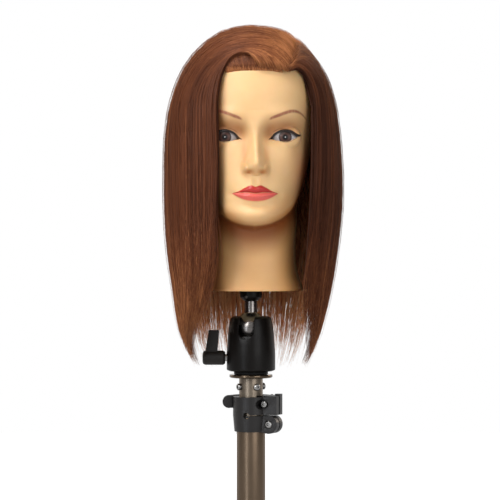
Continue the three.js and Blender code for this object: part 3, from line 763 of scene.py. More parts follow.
def over_crown(points, depth):
    """Points moved to a depth under the outside of the hair, along lines from the heart."""
    direction = points - HEART
    direction = direction / np.linalg.norm(direction, axis=-1, keepdims=True)
    return HEART + direction * (crown_reach(direction) - depth)[..., None]


def along_curve(points, t):
    """Points at parameters 0 to 1 along a smooth curve through a few given points."""
    table = np.column_stack([np.linspace(0, 1, len(points)), np.array(points, dtype=float)])
    return levels_at(table, t)


def gathered(angle_deg, z):
    """The angle of a hanging hair, drawn in towards the point of its lock as it comes down."""
    left = angle_deg < 0
    tip = np.where(left, TIP_LEFT, TIP_RIGHT)
    ahead = np.where(left, angle_deg > tip, angle_deg < tip)
    drop = np.clip((310 - z) / 112, 0, 1.12)
    early = 0.12 * np.clip((400 - z) / 145, 0, 1)
    fall = np.where(left, 0.7 * drop**2.3 + early, 0.74 * drop**4)
    pull = np.where(ahead, fall, fall * 0.3 * smoothstep(75, 15, np.abs(angle_deg - tip)))
    return angle_deg + (tip - angle_deg) * pull


def hair_paths(root, rise, over, angle, end, depth, root_depth, drift):
    """Each hair: up from its root, over the crown to its angle, then straight down to its end."""
    count = len(angle)
    upper, lower = 15, 9
    s = np.linspace(0, 1, upper, endpoint=False)[None, :, None]
    fall_start = around(np.radians(angle), np.full(count, HANG_FROM), 0.0)
    curve = ((1 - s) ** 3 * root[:, None] + 3 * (1 - s) ** 2 * s * rise[:, None]
             + 3 * (1 - s) * s**2 * over[:, None] + s**3 * fall_start[:, None])
    sink = np.clip(1 - s[..., 0] / 0.12, 0, 1) ** 1.5
    top = over_crown(curve, depth[:, None] + (root_depth - depth[:, None]) * sink)
    u = np.linspace(0, 1, lower)[None, :]
    z = HANG_FROM + (end[:, None] - HANG_FROM) * u
    turned = gathered(angle[:, None], z) + drift[:, None] * smoothstep(0.45, 1.0, u)
    hang = around(np.radians(turned), z, depth[:, None])
    return np.concatenate([top, hang], axis=1)


def waved(paths, size, clump):
    """A slight wave across each hair, shared by the hairs of one clump."""
    count, steps = paths.shape[:2]
    along = np.linspace(0, 1, steps)[None, :]
    phase = rng.uniform(0, 6.3, CLUMP_VALUES)[clump % CLUMP_VALUES][:, None]
    own = rng.uniform(0, 6.3, (count, 1))
    swing = np.sin(along * 11 + phase) * 0.7 + np.sin(along * 19 + own) * 0.35
    grow = smoothstep(0.05, 0.5, along)
    side = np.stack([-paths[..., 1], paths[..., 0], np.zeros_like(paths[..., 0])], axis=-1)
    side /= np.linalg.norm(side, axis=-1, keepdims=True) + 1e-9
    return paths + side * (swing * grow * size)[..., None]


def hair_piece(name, paths, width, tint):
    """A mesh of thin closed tubes with three sides, one along each path, finer at both ends."""
    count, steps = paths.shape[:2]
    tangent = np.gradient(paths, axis=1)
    tangent /= np.linalg.norm(tangent, axis=-1, keepdims=True) + 1e-9
    outward = paths - np.array([0, 0, 380.0])
    outward[..., 2] = np.where(paths[..., 2] > HANG_FROM, outward[..., 2], 0)
    side = np.cross(tangent, outward)
    side /= np.linalg.norm(side, axis=-1, keepdims=True) + 1e-9
    lift = np.cross(side, tangent)
    along = np.linspace(0, 1, steps)
    taper = np.minimum(0.45 + along * 8, 1) * (0.22 + 0.78 * np.clip((1 - along) / 0.26, 0, 1))
    radius = (width[:, None] * taper[None, :] / 2)[..., None]
    corners = [(math.cos(a), math.sin(a)) for a in np.radians((90, 210, 330))]
    rings = np.stack([paths + radius * (cx * side + 0.62 * cy * lift) for cx, cy in corners], axis=2)
    verts = rings.reshape(-1, 3)
    base = (np.arange(count) * steps * 3)[:, None, None]
    ring = (np.arange(steps - 1) * 3)[None, :, None]
    corner = np.arange(3)[None, None, :]
    after = (corner + 1) % 3
    a, b = base + ring + corner, base + ring + after
    quads = np.stack([b, a, a + 3, b + 3], axis=-1).reshape(-1, 4)
    first = base[:, 0]
    last = first + (steps - 1) * 3
    caps = np.concatenate([np.hstack([first, first + 1, first + 2]), np.hstack([last + 2, last + 1, last])])
    mesh = bpy.data.meshes.new(name)
    mesh.vertices.add(len(verts))
    mesh.vertices.foreach_set("co", (verts * MM).astype(np.float32).reshape(-1))
    loops = np.concatenate([quads.reshape(-1), caps.reshape(-1)])
    starts = np.concatenate([np.arange(len(quads)) * 4, len(quads) * 4 + np.arange(len(caps)) * 3])
    mesh.loops.add(len(loops))
    mesh.loops.foreach_set("vertex_index", loops.astype(np.int32))
    mesh.polygons.add(len(starts))
    mesh.polygons.foreach_set("loop_start", starts.astype(np.int32))
    mesh.polygons.foreach_set("use_smooth", np.ones(len(starts), dtype=bool))
    mesh.update(calc_edges=True)
    piece = new_object(name, mesh)
    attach(piece, "head")
    point_value(piece, "tint", np.repeat(tint, steps * 3))
    point_value(piece, "along", np.tile(np.repeat(along, 3), count))
    return piece


def shades(count, clump, spread=0.03):
    """How light each hair is: mostly by its clump, a little on its own."""
    by_clump = rng.normal(0, spread, CLUMP_VALUES)[clump % CLUMP_VALUES]
    by_lock = rng.normal(0, spread, CLUMP_VALUES)[(clump // 6) % CLUMP_VALUES]
    return 0.5 + by_clump + 0.6 * by_lock + rng.normal(0, 0.075, count)


def hair_ends(count, low, high, power):
    """Heights at which the hairs end; more of them end high where the power is low."""
    return low + (high - low) * rng.uniform(0, 1, count) ** power


def thinness(angle):
    """From 0 to 1 round the head: where the ends at the back are short and let the light through."""
    waves = 0.5 * np.sin(np.radians(angle * 47 + 60)) + 0.4 * np.sin(np.radians(angle * 71 + 115))
    return smoothstep(-0.1, 0.75, waves + 0.3 * np.sin(np.radians(angle * 19)))


def clumped(angle, size):
    """Which clump each hair belongs to, and the angle to that clump's middle."""
    wobble = angle + rng.normal(0, size * 0.25, len(angle))
    clump = np.round(wobble / size).astype(int)
    return clump, clump * size - angle


def hair_group(node, side, span, ends, width, light):
    """Hair combed from the part to one side, over a span of the way from its front edge to the back."""
    count = STRANDS
    t = np.sort(rng.uniform(*span, count))
    edge = EDGE_LEFT if side < 0 else EDGE_RIGHT
    angle = edge + (side * 180 - edge) * t
    clump, to_middle = clumped(angle, CLUMP)
    depth = HAIR_LAYER * rng.uniform(0, 1, count) ** 1.7
    if side < 0:
        along_part = np.clip((t - 0.1) / 0.9, 0, 1) ** 0.8
    else:
        along_part = t**0.85
    root = along_curve(PART, along_part) + rng.normal(0, 1.3, (count, 3))
    over = around(np.radians(angle), np.full(count, 510.0), -6.0)
    if side < 0:
        # The first tenth is rooted along the hairline, and sweeps up before it falls to the left.
        start = np.clip(1 - t / 0.1, 0, 1)
        root[:, 0] -= 34 * start
        root[:, 2] -= 1.5 * start
        rise = root + np.column_stack([(-10 - 12 * t) * (1 - t**3), 4 + 8 * t, np.full(count, 32.0)])
        over[:, 2] += 14 * np.exp(-t / 0.12)
    else:
        rise = root + np.column_stack([9 * (1 - t**3), 2 + 10 * t, 6 + 2 * t])
    # The ends rise away from the tip of the front lock, and where the hair at the back is thin.
    tip = TIP_LEFT if side < 0 else TIP_RIGHT
    from_tip = np.clip(np.abs(angle - tip) / 40, 0, 1.2)
    end = hair_ends(count, *ends) + 16 * from_tip**2 * (np.abs(angle) < 110)
    end += 24 * thinness(angle) * (np.abs(angle) > 118)
    drift = to_middle * 0.4 + rng.normal(0, 3.0, count)
    paths = waved(hair_paths(root, rise, over, angle, end, depth, 2.6, drift), 0.6, clump)
    # Deeper hairs are darker, as painted shade between the strands; light, lowest on the right side, is
    # painted shade on the side away from the light.
    tint = np.clip(shades(count, clump) + light - 0.03 * (depth - 2), 0, 1)
    name = node.removesuffix("_side") + "_strands"
    piece = hair_piece(name, paths, rng.uniform(0.75, 1.25, count) * width, tint)
    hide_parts(node)
    return piece


def hair_base():
    """The dense hair underneath: one closed mantle, open at the face and ragged at its foot."""
    angles = np.arange(-180, 180, 1.5)
    steps_down, steps_up = 40, 34
    foot = MANTLE["foot"] + 7 * np.sin(np.radians(angles * 7)) + 5 * np.sin(np.radians(angles * 17 + 40))
    lock = np.exp(-((angles - TIP_LEFT) / 20) ** 2) + np.exp(-((angles - TIP_RIGHT) / 20) ** 2)
    foot -= (MANTLE["foot"] - MANTLE["foot_at_locks"]) * lock
    ripple = 0.9 * np.sin(np.radians(angles * 24)) + 0.6 * np.sin(np.radians(angles * 61 + 70))
    open_here = (angles > EDGE_LEFT) & (angles < EDGE_RIGHT)
    rows = []
    for i in range(steps_down):
        z = foot + (HANG_FROM - foot) * i / steps_down
        rows.append(around(np.radians(gathered(angles, z)), z, MANTLE["depth"] + ripple))
    rim = around(np.radians(angles), np.where(open_here, 501.0, HANG_FROM), 0.0)
    pole = np.array([0.0, 5.0, MANTLE["pole"]])
    on_top = MANTLE["depth_on_top"]
    depth = np.where(open_here, 7.5, on_top)
    for i in range(steps_up):
        t = i / steps_up
        way = (rim - HEART) * (1 - t) + (pole - HEART) * t * (1 - 0.25 * (1 - t))
        rows.append(over_crown(HEART + way, depth + (on_top - depth) * t + ripple * (1 - t) * 0.7))
    grid = np.array(rows)
    columns = len(angles)
    faces = []
    for face in grid_faces(len(rows), columns):
        beside = open_here[face[0] % columns] or open_here[face[1] % columns]
        if not (beside and face[0] // columns < steps_down):
            faces.append(face)
    verts = np.vstack([grid.reshape(-1, 3), over_crown(pole[None, :], np.array([on_top]))])
    last = (len(rows) - 1) * columns
    for j in range(columns):
        faces.append((last + j, last + (j + 1) % columns, len(verts) - 1))
    piece = mesh_piece("hair_mantle", verts, faces, "head")
    loose = bmesh.new()
    loose.from_mesh(piece.data)
    bmesh.ops.delete(loose, geom=[v for v in loose.verts if not v.link_faces], context="VERTS")
    bmesh.ops.solidify(loose, geom=loose.faces[:], thickness=MANTLE["wall"] * MM)
    bmesh.ops.recalc_face_normals(loose, faces=loose.faces)
    loose.to_mesh(piece.data)
    loose.free()
    count = len(piece.data.vertices)
    co = np.empty(count * 3, dtype=np.float32)
    piece.data.vertices.foreach_get("co", co)
    co = co.reshape(-1, 3)
    turn = np.degrees(np.arctan2(co[:, 0], -co[:, 1]))
    # Far darker than the loose hair: painted shade of the dense hair under the strands; the waves round the
    # head are tone.
    point_value(piece, "tint", 0.1 + 0.04 * np.sin(turn * 2.4) + 0.03 * np.sin(turn * 6.1))
    point_value(piece, "along", np.full(count, 0.4))
    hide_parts("hair_crown")
    return piece


def root_fringe():
    """The short hairs that stand up out of the hairline, in front of the sweep."""
    count = ROOTS
    x = rng.uniform(-34, 34, count)
    steps = 7
    u = np.linspace(0, 1, steps)[None, :]
    tall = rng.uniform(10, 27, count)[:, None]
    z = HAIRLINE_Z + rng.uniform(-0.8, 1.6, count)[:, None] + tall * u
    lean = rng.normal(-3.5, 2.2, count)[:, None]
    xs = x[:, None] + lean * u**1.5
    curve = np.sqrt(np.clip(1 - (xs / 92) ** 2, 0, 1))
    hair_inside = -around(np.arctan2(xs, 90), z, 5.0)[..., 1]
    y = -np.minimum(curve * (90.4 + 0.35 * (z - 493)), hair_inside)
    paths = np.stack([xs, y, z], axis=-1)
    # Lighter than the hair behind them: painted light on the short hairs that stand up in front of the sweep.
    tint = np.clip(rng.normal(0.56, 0.13, count), 0, 1)
    return hair_piece("hairline_roots", paths, rng.uniform(0.3, 0.55, count), tint)


def nape_hair(name, span):
    """The shorter hairs rooted at the nape, which hang inside the long ones."""
    count = STRANDS
    angle = rng.uniform(*span, count)
    clump, to_middle = clumped(angle, NAPE_CLUMP)
    steps = 11
    u = np.linspace(0, 1, steps)[None, :]
    top = rng.uniform(330, 400, count)[:, None]
    end = (hair_ends(count, *NAPE_ENDS) + 18 * thinness(angle))[:, None]
    z = top + (end - top) * u
    turned = angle[:, None] + to_middle[:, None] * smoothstep(0.3, 1.0, u) * 0.9
    depth = 9.0 + rng.uniform(0, 9, count)[:, None] + 10 * (1 - smoothstep(0, 0.25, u))
    paths = waved(around(np.radians(turned), z, depth), 1.3, clump)
    width = rng.uniform(0.22, 0.8, count)
    # Thinner hairs are lighter: painted light coming through them.
    tint = np.clip(shades(count, clump, 0.1) + 0.42 - 0.45 * width, 0, 1)
    return hair_piece(name, paths, width, tint)


def stray_hairs():
    """Single hairs that stand a little off the rest, at the outline and at the ends."""
    count = STRAYS
    side = rng.choice([-1.0, 1.0], count)
    angle = side * rng.uniform(52, 178, count)
    root = along_curve(PART, rng.uniform(0, 1, count)) + rng.normal(0, 2.0, (count, 3))
    over = around(np.radians(angle), np.full(count, 512.0), -7.0)
    rise = root + np.column_stack([side * 10, np.full(count, 6.0), np.full(count, 14.0)])
    end = hair_ends(count, *STRAY_ENDS)
    depth = -rng.uniform(0.2, 2.4, count)
    paths = hair_paths(root, rise, over, angle, end, depth, 1.0, rng.normal(0, 2.5, count))
    paths = waved(paths, 1.6, rng.integers(0, 4000, count))
    width = rng.uniform(0.2, 0.32, count)
    # Their lighter tint is painted rim light at the outline of the hair.
    return hair_piece("stray_hairs", paths, width, np.clip(rng.normal(0.6, 0.1, count), 0, 1))


def thin_hair_material():
    """The same hair where it is thin enough for the light to come through it: a little real transmission,
    with colours painted lighter and more orange towards the ends as painted light coming through.
    """
    n = Nodes("thin brown hair")
    streak = n.noise(60, 3, 0.6, (1, 1, 0.12))
    tone = n.maths("ADD", n.value("tint"), n.map(streak, 0.3, 0.7, -0.12, 0.12))
    # Darker where the hairs start, deep under the long hair, as painted shade, and lighter towards the ends,
    # as painted light coming through.
    tone = n.maths("ADD", tone, n.map(n.value("along"), 0.45, 1.0, -0.15, 0.3))
    colour = n.ramp(tone, [
        (0.15, (0.13, 0.024, 0.007)), (0.45, (0.56, 0.14, 0.042)), (0.85, (0.95, 0.5, 0.24)),
    ])
    n.set(Base_Color=colour, Roughness=0.5, Specular_IOR_Level=0.15, Transmission_Weight=0.15, IOR=1.3)
    n.bumps(n.noise(2400, 2, 0.5, (1, 1, 0.1)), 0.1, 0.0002)
    return n.made


def hair_material(name, end_light):
    """Brown hair, lighter at the root, on the top of the head, as a painted highlight of the light from
    above, and, by end_light, towards its ends, as painted light coming through the thin ends.
    """
    n = Nodes(name)
    tint = n.value("tint")
    along = n.value("along")
    streak = n.noise(60, 3, 0.6, (1, 1, 0.12))
    tone = n.maths("ADD", tint, n.map(streak, 0.3, 0.7, -0.05, 0.05))
    # Painted light coming through the thin ends.
    tone = n.maths("ADD", tone, n.map(along, 0.84, 1.0, 0.0, end_light))
    # Painted highlight on the top of the head, near the roots.
    tone = n.maths("ADD", tone, n.map(along, 0.0, 0.5, 0.38, 0.0))
    colour = n.ramp(tone, [
        (0.0, (0.014, 0.0036, 0.0013)), (0.25, (0.036, 0.0094, 0.0034)), (0.5, (0.084, 0.0235, 0.0085)),
        (0.75, (0.185, 0.058, 0.022)), (1.0, (0.6, 0.24, 0.09)),
    ])
    n.set(Base_Color=colour, Roughness=0.46, Specular_IOR_Level=0.15)
    n.bumps(n.noise(2400, 2, 0.5, (1, 1, 0.1)), 0.1, 0.0002)
    return n.made


def make_hair():
    look = hair_material("brown hair", 0.36)
    seen_through = hair_material("brown hair with the light behind it", 0.45)
    for piece in (hair_base(), root_fringe(), stray_hairs()):
        dress(piece, look)
    for row in HAIR_GROUPS:
        dress(hair_group(*row), seen_through if "back" in row[0] else look)
    thin = thin_hair_material()
    for name, span in (("nape_hair_left", (-178, -120)), ("nape_hair_right", (122, 182))):
        dress(nape_hair(name, span), thin)


# ---------------------------------------------------------------- solids for the stand
SIDES = 96  # of a round piece of the stand
CLAMP_TURN = -25.0  # degrees from +X to the way the clamp's ears point, as in the CAD


def rounded(points, radius):
    """A closed outline with an arc at each corner that is off the axis."""
    out = []
    corners = [np.array(p[:2], dtype=float) for p in points]
    for i, corner in enumerate(corners):
        before, after = corners[i - 1], corners[(i + 1) % len(corners)]
        back, ahead = before - corner, after - corner
        cut = min(radius, 0.45 * np.linalg.norm(back), 0.45 * np.linalg.norm(ahead))
        if corner[0] < 1e-6 or cut < 1e-3:
            out.append(tuple(corner))
            continue
        start = corner + back / np.linalg.norm(back) * cut
        end = corner + ahead / np.linalg.norm(ahead) * cut
        for t in np.linspace(0, 1, 5):
            out.append(tuple((1 - t) ** 2 * start + 2 * t * (1 - t) * corner + t**2 * end))
    return out


def turned_solid(points, radius=0.0, sides=SIDES):
    """A solid of revolution about Z from a closed outline of (radius, height) points."""
    outline = rounded(points, radius) if radius else points
    solid = bmesh.new()
    angles = np.linspace(0, 2 * math.pi, sides, endpoint=False)
    rings = []
    for r, z in outline:
        if r < 1e-6:
            rings.append([solid.verts.new((0, 0, z))])
        else:
            rings.append([solid.verts.new((r * math.cos(a), r * math.sin(a), z)) for a in angles])
    for low, high in zip(rings, rings[1:] + rings[:1]):
        for j in range(sides):
            k = (j + 1) % sides
            around_face = [low[j % len(low)], low[k % len(low)], high[k % len(high)], high[j % len(high)]]
            face = list(dict.fromkeys(around_face))
            if len(face) > 2:
                solid.faces.new(face)
    bmesh.ops.recalc_face_normals(solid, faces=solid.faces[:])
    return solid


def rod_solid(radius, bottom, top, sides=48):
    return turned_solid([(0, bottom), (radius, bottom), (radius, top), (0, top)], sides=sides)


def prism(outline, low, high, plane="XY"):
    """A solid with one outline, from one level to another across its plane."""
    solid = bmesh.new()
    order = {"XY": lambda a, b, c: (a, b, c), "XZ": lambda a, b, c: (a, c, b)}[plane]
    sheets = [[solid.verts.new(order(a, b, level)) for a, b in outline] for level in (low, high)]
    solid.faces.new(sheets[0])
    solid.faces.new(sheets[1])
    for i in range(len(outline)):
        j = (i + 1) % len(outline)
        solid.faces.new((sheets[0][i], sheets[0][j], sheets[1][j], sheets[1][i]))
    bmesh.ops.recalc_face_normals(solid, faces=solid.faces[:])
    return solid


def block(x0, x1, y0, y1, z0, z1):
    return prism([(x0, y0), (x1, y0), (x1, y1), (x0, y1)], z0, z1)


def arc(middle, radius, start, end, steps=24):
    """Points of an arc between two angles in degrees."""
    return [(middle[0] + radius * math.cos(a), middle[1] + radius * math.sin(a))
            for a in np.radians(np.linspace(start, end, steps))]


def placed(solid, move=(0, 0, 0), **turns):
    """A solid turned about X, then Y, then Z by degrees, and then moved."""
    matrix = Matrix.Identity(4)
    for axis in "XYZ":
        matrix = Matrix.Rotation(math.radians(turns.get(axis.lower(), 0)), 4, axis) @ matrix
    bmesh.ops.transform(solid, matrix=Matrix.Translation(move) @ matrix, verts=solid.verts[:])
    return solid


def as_object(solid, name):
    """A solid in millimetres made an object in metres."""
    mesh = bpy.data.meshes.new(name)
    bmesh.ops.scale(solid, vec=(MM, MM, MM), verts=solid.verts[:])
    solid.to_mesh(mesh)
    solid.free()
    return new_object(name, mesh)


def lying(solid, height, turn=0.0):
    """A solid made about Z, laid along a level line at a height; turn is the line's angle from +X."""
    return placed(solid, y=90, z=turn, move=(0, 0, height))


def stand_piece(name, solid, node, material, cuts=(), joins=(), bevel=0.0, turn=0.0):
    """A finished piece of the stand: joined and cut, its edges broken, in place of a CAD node.

    All its solids are turned about Z by the same angle first.
    """
    made = as_object(placed(solid, z=turn), name)
    helpers = []
    for operation, others in (("UNION", joins), ("DIFFERENCE", cuts)):
        for other in others:
            tool = as_object(placed(other, z=turn), "cutter")
            helpers.append(tool)
            step = made.modifiers.new(operation, "BOOLEAN")
            step.operation = operation
            step.solver = "EXACT"
            step.object = tool
    if bevel:
        weld = made.modifiers.new("weld", "WELD")
        weld.merge_threshold = 0.02 * MM
        edges = made.modifiers.new("edges", "BEVEL")
        edges.width = bevel * MM
        edges.segments = 3
        edges.limit_method = "ANGLE"
        edges.angle_limit = math.radians(35)
        edges.use_clamp_overlap = True
    bpy.context.view_layer.update()
    finished = bpy.data.meshes.new_from_object(made.evaluated_get(bpy.context.evaluated_depsgraph_get()))
    made.modifiers.clear()
    rough_mesh = made.data
    made.data = finished
    finished.name = name
    bpy.data.meshes.remove(rough_mesh)
    for tool in helpers:
        tool_mesh = tool.data
        bpy.data.objects.remove(tool)
        bpy.data.meshes.remove(tool_mesh)
    finished.polygons.foreach_set("use_smooth", [True] * len(finished.polygons))
    finished.set_sharp_from_angle(angle=math.radians(32))
    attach(made, body_of(frame["nodes"][node])[0])
    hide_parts(node)
    dress(made, material)
    return made


def hexagon_solid(radius, bottom, top):
    return rod_solid(radius, bottom, top, sides=6)


def screw_solid(head, high, shank, long):
    """A cap screw along +Z, the underside of its head at 0, without its socket."""
    outline = [(0, -long), (shank - 0.4, -long), (shank, 0.6 - long), (shank, 0), (head - 0.15, 0),
               (head, 0.2), (head, high * 0.72), (head - high * 0.26, high), (0, high)]
    return turned_solid(outline, 0.2, 64)


# ---------------------------------------------------------------- materials of the stand
def brushed_metal(name, colour, roughness, dirt=0.12):
    """Metal with fine lines round it, a little darker and lighter by the lines."""
    n = Nodes(name)
    lines = n.noise(60, 4, 0.65, (40, 40, 1.2))
    cloud = n.noise(45, 4, 0.6)
    dark = tuple(c * (1 - dirt) for c in colour)
    light = tuple(min(c * (1 + dirt), 1) for c in colour)
    tone = n.maths("ADD", n.maths("MULTIPLY", lines, 0.7), n.maths("MULTIPLY", cloud, 0.3))
    n.set(Base_Color=n.ramp(tone, [(0.35, dark), (0.65, light)]), Metallic=1.0,
          Roughness=n.map(cloud, 0.3, 0.7, roughness - 0.05, roughness + 0.07))
    n.bumps(lines, 0.04, 0.0001)
    return n.made


def cloudy(name, tones, clouds, grains, roughness, bumps, **settings):
    """A surface with two tones in clouds, and a grain in its shine and its relief."""
    n = Nodes(name)
    grain = n.noise(*grains)
    edge = 0.35 if "Metallic" in settings else 0.3
    n.set(Base_Color=n.ramp(n.noise(*clouds), [(edge, tones[0]), (1 - edge, tones[1])]),
          Roughness=n.map(grain, 0.3, 0.7, *roughness), **settings)
    n.bumps(grain, *bumps)
    return n.made


def scaled(colour, factor):
    return tuple(c * factor for c in colour)


def polished_metal(name, colour, roughness):
    return cloudy(name, (scaled(colour, 0.9), colour), (70, 5, 0.6), (900, 3, 0.6, (1, 1, 3)),
                  (roughness * 0.75, roughness * 1.35), (0.03, 0.00005), Metallic=1.0)


def coated(name, colour, roughness, grain, strength, specular):
    """Paint, powder coat or moulded plastic with a fine grain."""
    return cloudy(name, (colour, scaled(colour, 1.35)), (30, 4, 0.55), (grain, 4, 0.65),
                  (roughness - 0.06, roughness + 0.08), (strength, 0.0002), Specular_IOR_Level=specular)


def moulded(name, colour, roughness):
    return cloudy(name, (scaled(colour, 0.88), colour), (18, 3, 0.5, (1, 1, 4)), (60, 4, 0.6),
                  (roughness - 0.08, roughness + 0.08), (0.1, 0.0001))


# ---------------------------------------------------------------- the stand's pieces
HOUSING = {"bottom": 167.3, "radius": 27.0, "shoulder": 226.0, "top": 228.0, "rim": 14.0, "cavity": 19.6}
BALL = {"z": 216.0, "radius": 17.5}
NOTCH = {"half": 9.15, "bottom": 203.0, "turn": -14.5}
LOCK_Z = 182.0
SET_SCREWS = {"z": 150.0, "first": -64.0}
CONE_SCREW = {"z": 249.8, "turn": -118.0}
UPPER_BOLT = (18.7, 131.0)  # along the ears, and height
LOWER_BOLT = (24.7, 109.0)


def make_column(look):
    tube = [(14.5, 0), (16, 0), (16, 116), (14.5, 116)]
    stand_piece("stand_tube", turned_solid(tube, 0.35), "outer_tube", look["tube"])
    ways = [SET_SCREWS["first"] + 90 * i for i in range(4)]
    holes = [lying(rod_solid(2.3, 5, 20), SET_SCREWS["z"], way) for way in ways]
    inner = [(11.7, 12), (13.2, 12), (13.2, 159.7), (11.7, 159.7)]
    stand_piece("sliding_tube", turned_solid(inner, 0.3), "inner_tube", look["inner"], cuts=holes)
    plug = [(5, 136.3), (11.4, 136.3), (11.4, 160), (22.9, 160), (24, 160.9), (24, 163.0), (23.6, 163.5),
            (5, 163.5)]
    stand_piece("top_flange", turned_solid(plug, 0.25), "column_plug", look["bronze"])
    washer = [(5, 163.8), (18.4, 163.8), (18.9, 164.3), (18.9, 166.6), (18.5, 167), (5, 167)]
    stand_piece("rubber_spacer", turned_solid(washer, 0.2), "spacer", look["rubber"])
    for i, way in enumerate(ways, 1):
        body, socket = (lying(placed(solid, move=(0, 0, 13.5)), SET_SCREWS["z"], way)
                        for solid in (screw_solid(3.75, 3.3, 2, 7), hexagon_solid(1.9, 1.2, 5)))
        stand_piece(f"grub_screw_{i}", body, f"set_screw_{i}", look["screw"], cuts=[socket])


def make_ball_head(look):
    bottom, radius, shoulder = HOUSING["bottom"], HOUSING["radius"], HOUSING["shoulder"]
    top, rim, cavity = HOUSING["top"], HOUSING["rim"], HOUSING["cavity"]
    side = [(radius - 3, bottom), (radius, bottom + 1.4), (radius, 186), (radius - 0.25, 191),
            (radius - 0.6, 195), (radius - 1.3, 207), (radius - 2.4, 216.5), (radius - 4.3, shoulder),
            (radius - 7.6, top), (rim, top)]
    inside = [(rim, top - 0.8), (rim + 2.2, 225), (cavity, 225), (cavity, 188), (10, 188), (10, 171.5),
              (5, 171.5), (5, bottom)]
    notch = [(-NOTCH["half"], 245), *arc((0, NOTCH["bottom"] + NOTCH["half"]), NOTCH["half"], 180, 360, 40),
             (NOTCH["half"], 245)]
    cutter = placed(prism(notch, -40, -10, "XZ"), z=NOTCH["turn"])
    spindle_hole = lying(rod_solid(4.3, -40, -20), LOCK_Z)
    plunger_bore = lying(rod_solid(4.7, -24, -5), LOCK_Z)
    stand_piece("ball_housing_body", turned_solid(side + inside, 0.8, 144), "ball_housing", look["satin"],
                cuts=[cutter, spindle_hole, plunger_bore], bevel=0.9)

    start = math.asin((7.2 + 0.5) / BALL["radius"])
    polar = np.linspace(math.pi, start, 48)
    ball = [(BALL["radius"] * math.sin(a), BALL["z"] + BALL["radius"] * math.cos(a)) for a in polar]
    ball[0] = (0, ball[0][1])
    neck = [(7.3, 232.6), (7.2, 233.6), (7.2, 244.7), (6.9, 245), (5, 245), (5, 271.5), (4.5, 272), (0, 272)]
    stand_piece("ball_and_stem", turned_solid(ball + neck), "ball_stem", look["dark_chrome"])

    cone = [(5.3, 245.3), (7.8, 245.3), (12.2, 249.5), (12.5, 256.5), (5.3, 256.5)]
    screw_at = (CONE_SCREW["z"], CONE_SCREW["turn"])
    screw_hole = lying(rod_solid(1.9, 4, 20), *screw_at)
    stand_piece("cone_nut", turned_solid(cone, 0.5), "neck_cone", look["satin"], cuts=[screw_hole])
    thread = [(0, 5.7), (1.6, 5.7), (1.6, 11.8), (1.4, 12), (0, 12)]
    grub = lying(turned_solid(thread, sides=48), *screw_at)
    socket = lying(hexagon_solid(0.85, 10.4, 14), *screw_at)
    stand_piece("cone_grub_screw", grub, "cone_set_screw", look["screw"], cuts=[socket])
    post = [(5.3, 256.9), (12.2, 256.9), (9.7, 317.5), (0, 317.5), (0, 272.6), (5.3, 272.6)]
    stand_piece("tapered_post", turned_solid(post, 0.6), "neck_post", look["plastic"])


def make_lock_lever(look):
    far, near = -53.8, -28.6
    hub = [(0, far), (5.4, far), (7.3, far + 1.3), (8, far + 3.4), (8, near - 2.2), (6.4, near), (0, near)]
    body = lying(turned_solid(hub, 0.5, 72), LOCK_Z)
    side = [(-50.5, 182), (-37, 182), (-37, 192), (-36.4, 200), (-35.4, 212.0), (-35.9, 212.6),
            (-46.2, 212.6), (-46.9, 212.0), (-50.5, 190)]
    handle = prism(side, -4, 4, "XZ")
    bores = ((4.3, -44.3, -20), (2.4, -60, -40), (4.2, -60, far + 3.6))
    cuts = [lying(rod_solid(*bore), LOCK_Z) for bore in bores]
    stand_piece("lock_handle", body, "lock_lever", look["rough"], cuts=cuts, joins=[handle], bevel=0.7)
    outline = [(2.4, -44), (3.7, -44), (4, -43.7), (4, -23.1), (3.7, -22.8), (0, -22.8), (0, -36), (2.4, -36)]
    spindle = lying(turned_solid(outline, sides=64), LOCK_Z)
    stand_piece("lock_spindle_rod", spindle, "lock_spindle", look["screw"])
    cap, socket = (lying(placed(solid, x=180, move=(0, 0, far + 3.3)), LOCK_Z)
                   for solid in (screw_solid(3.8, 3, 2, 12), hexagon_solid(1.9, 1.3, 4)))
    stand_piece("handle_screw", cap, "lever_cap_screw", look["screw"], cuts=[socket])


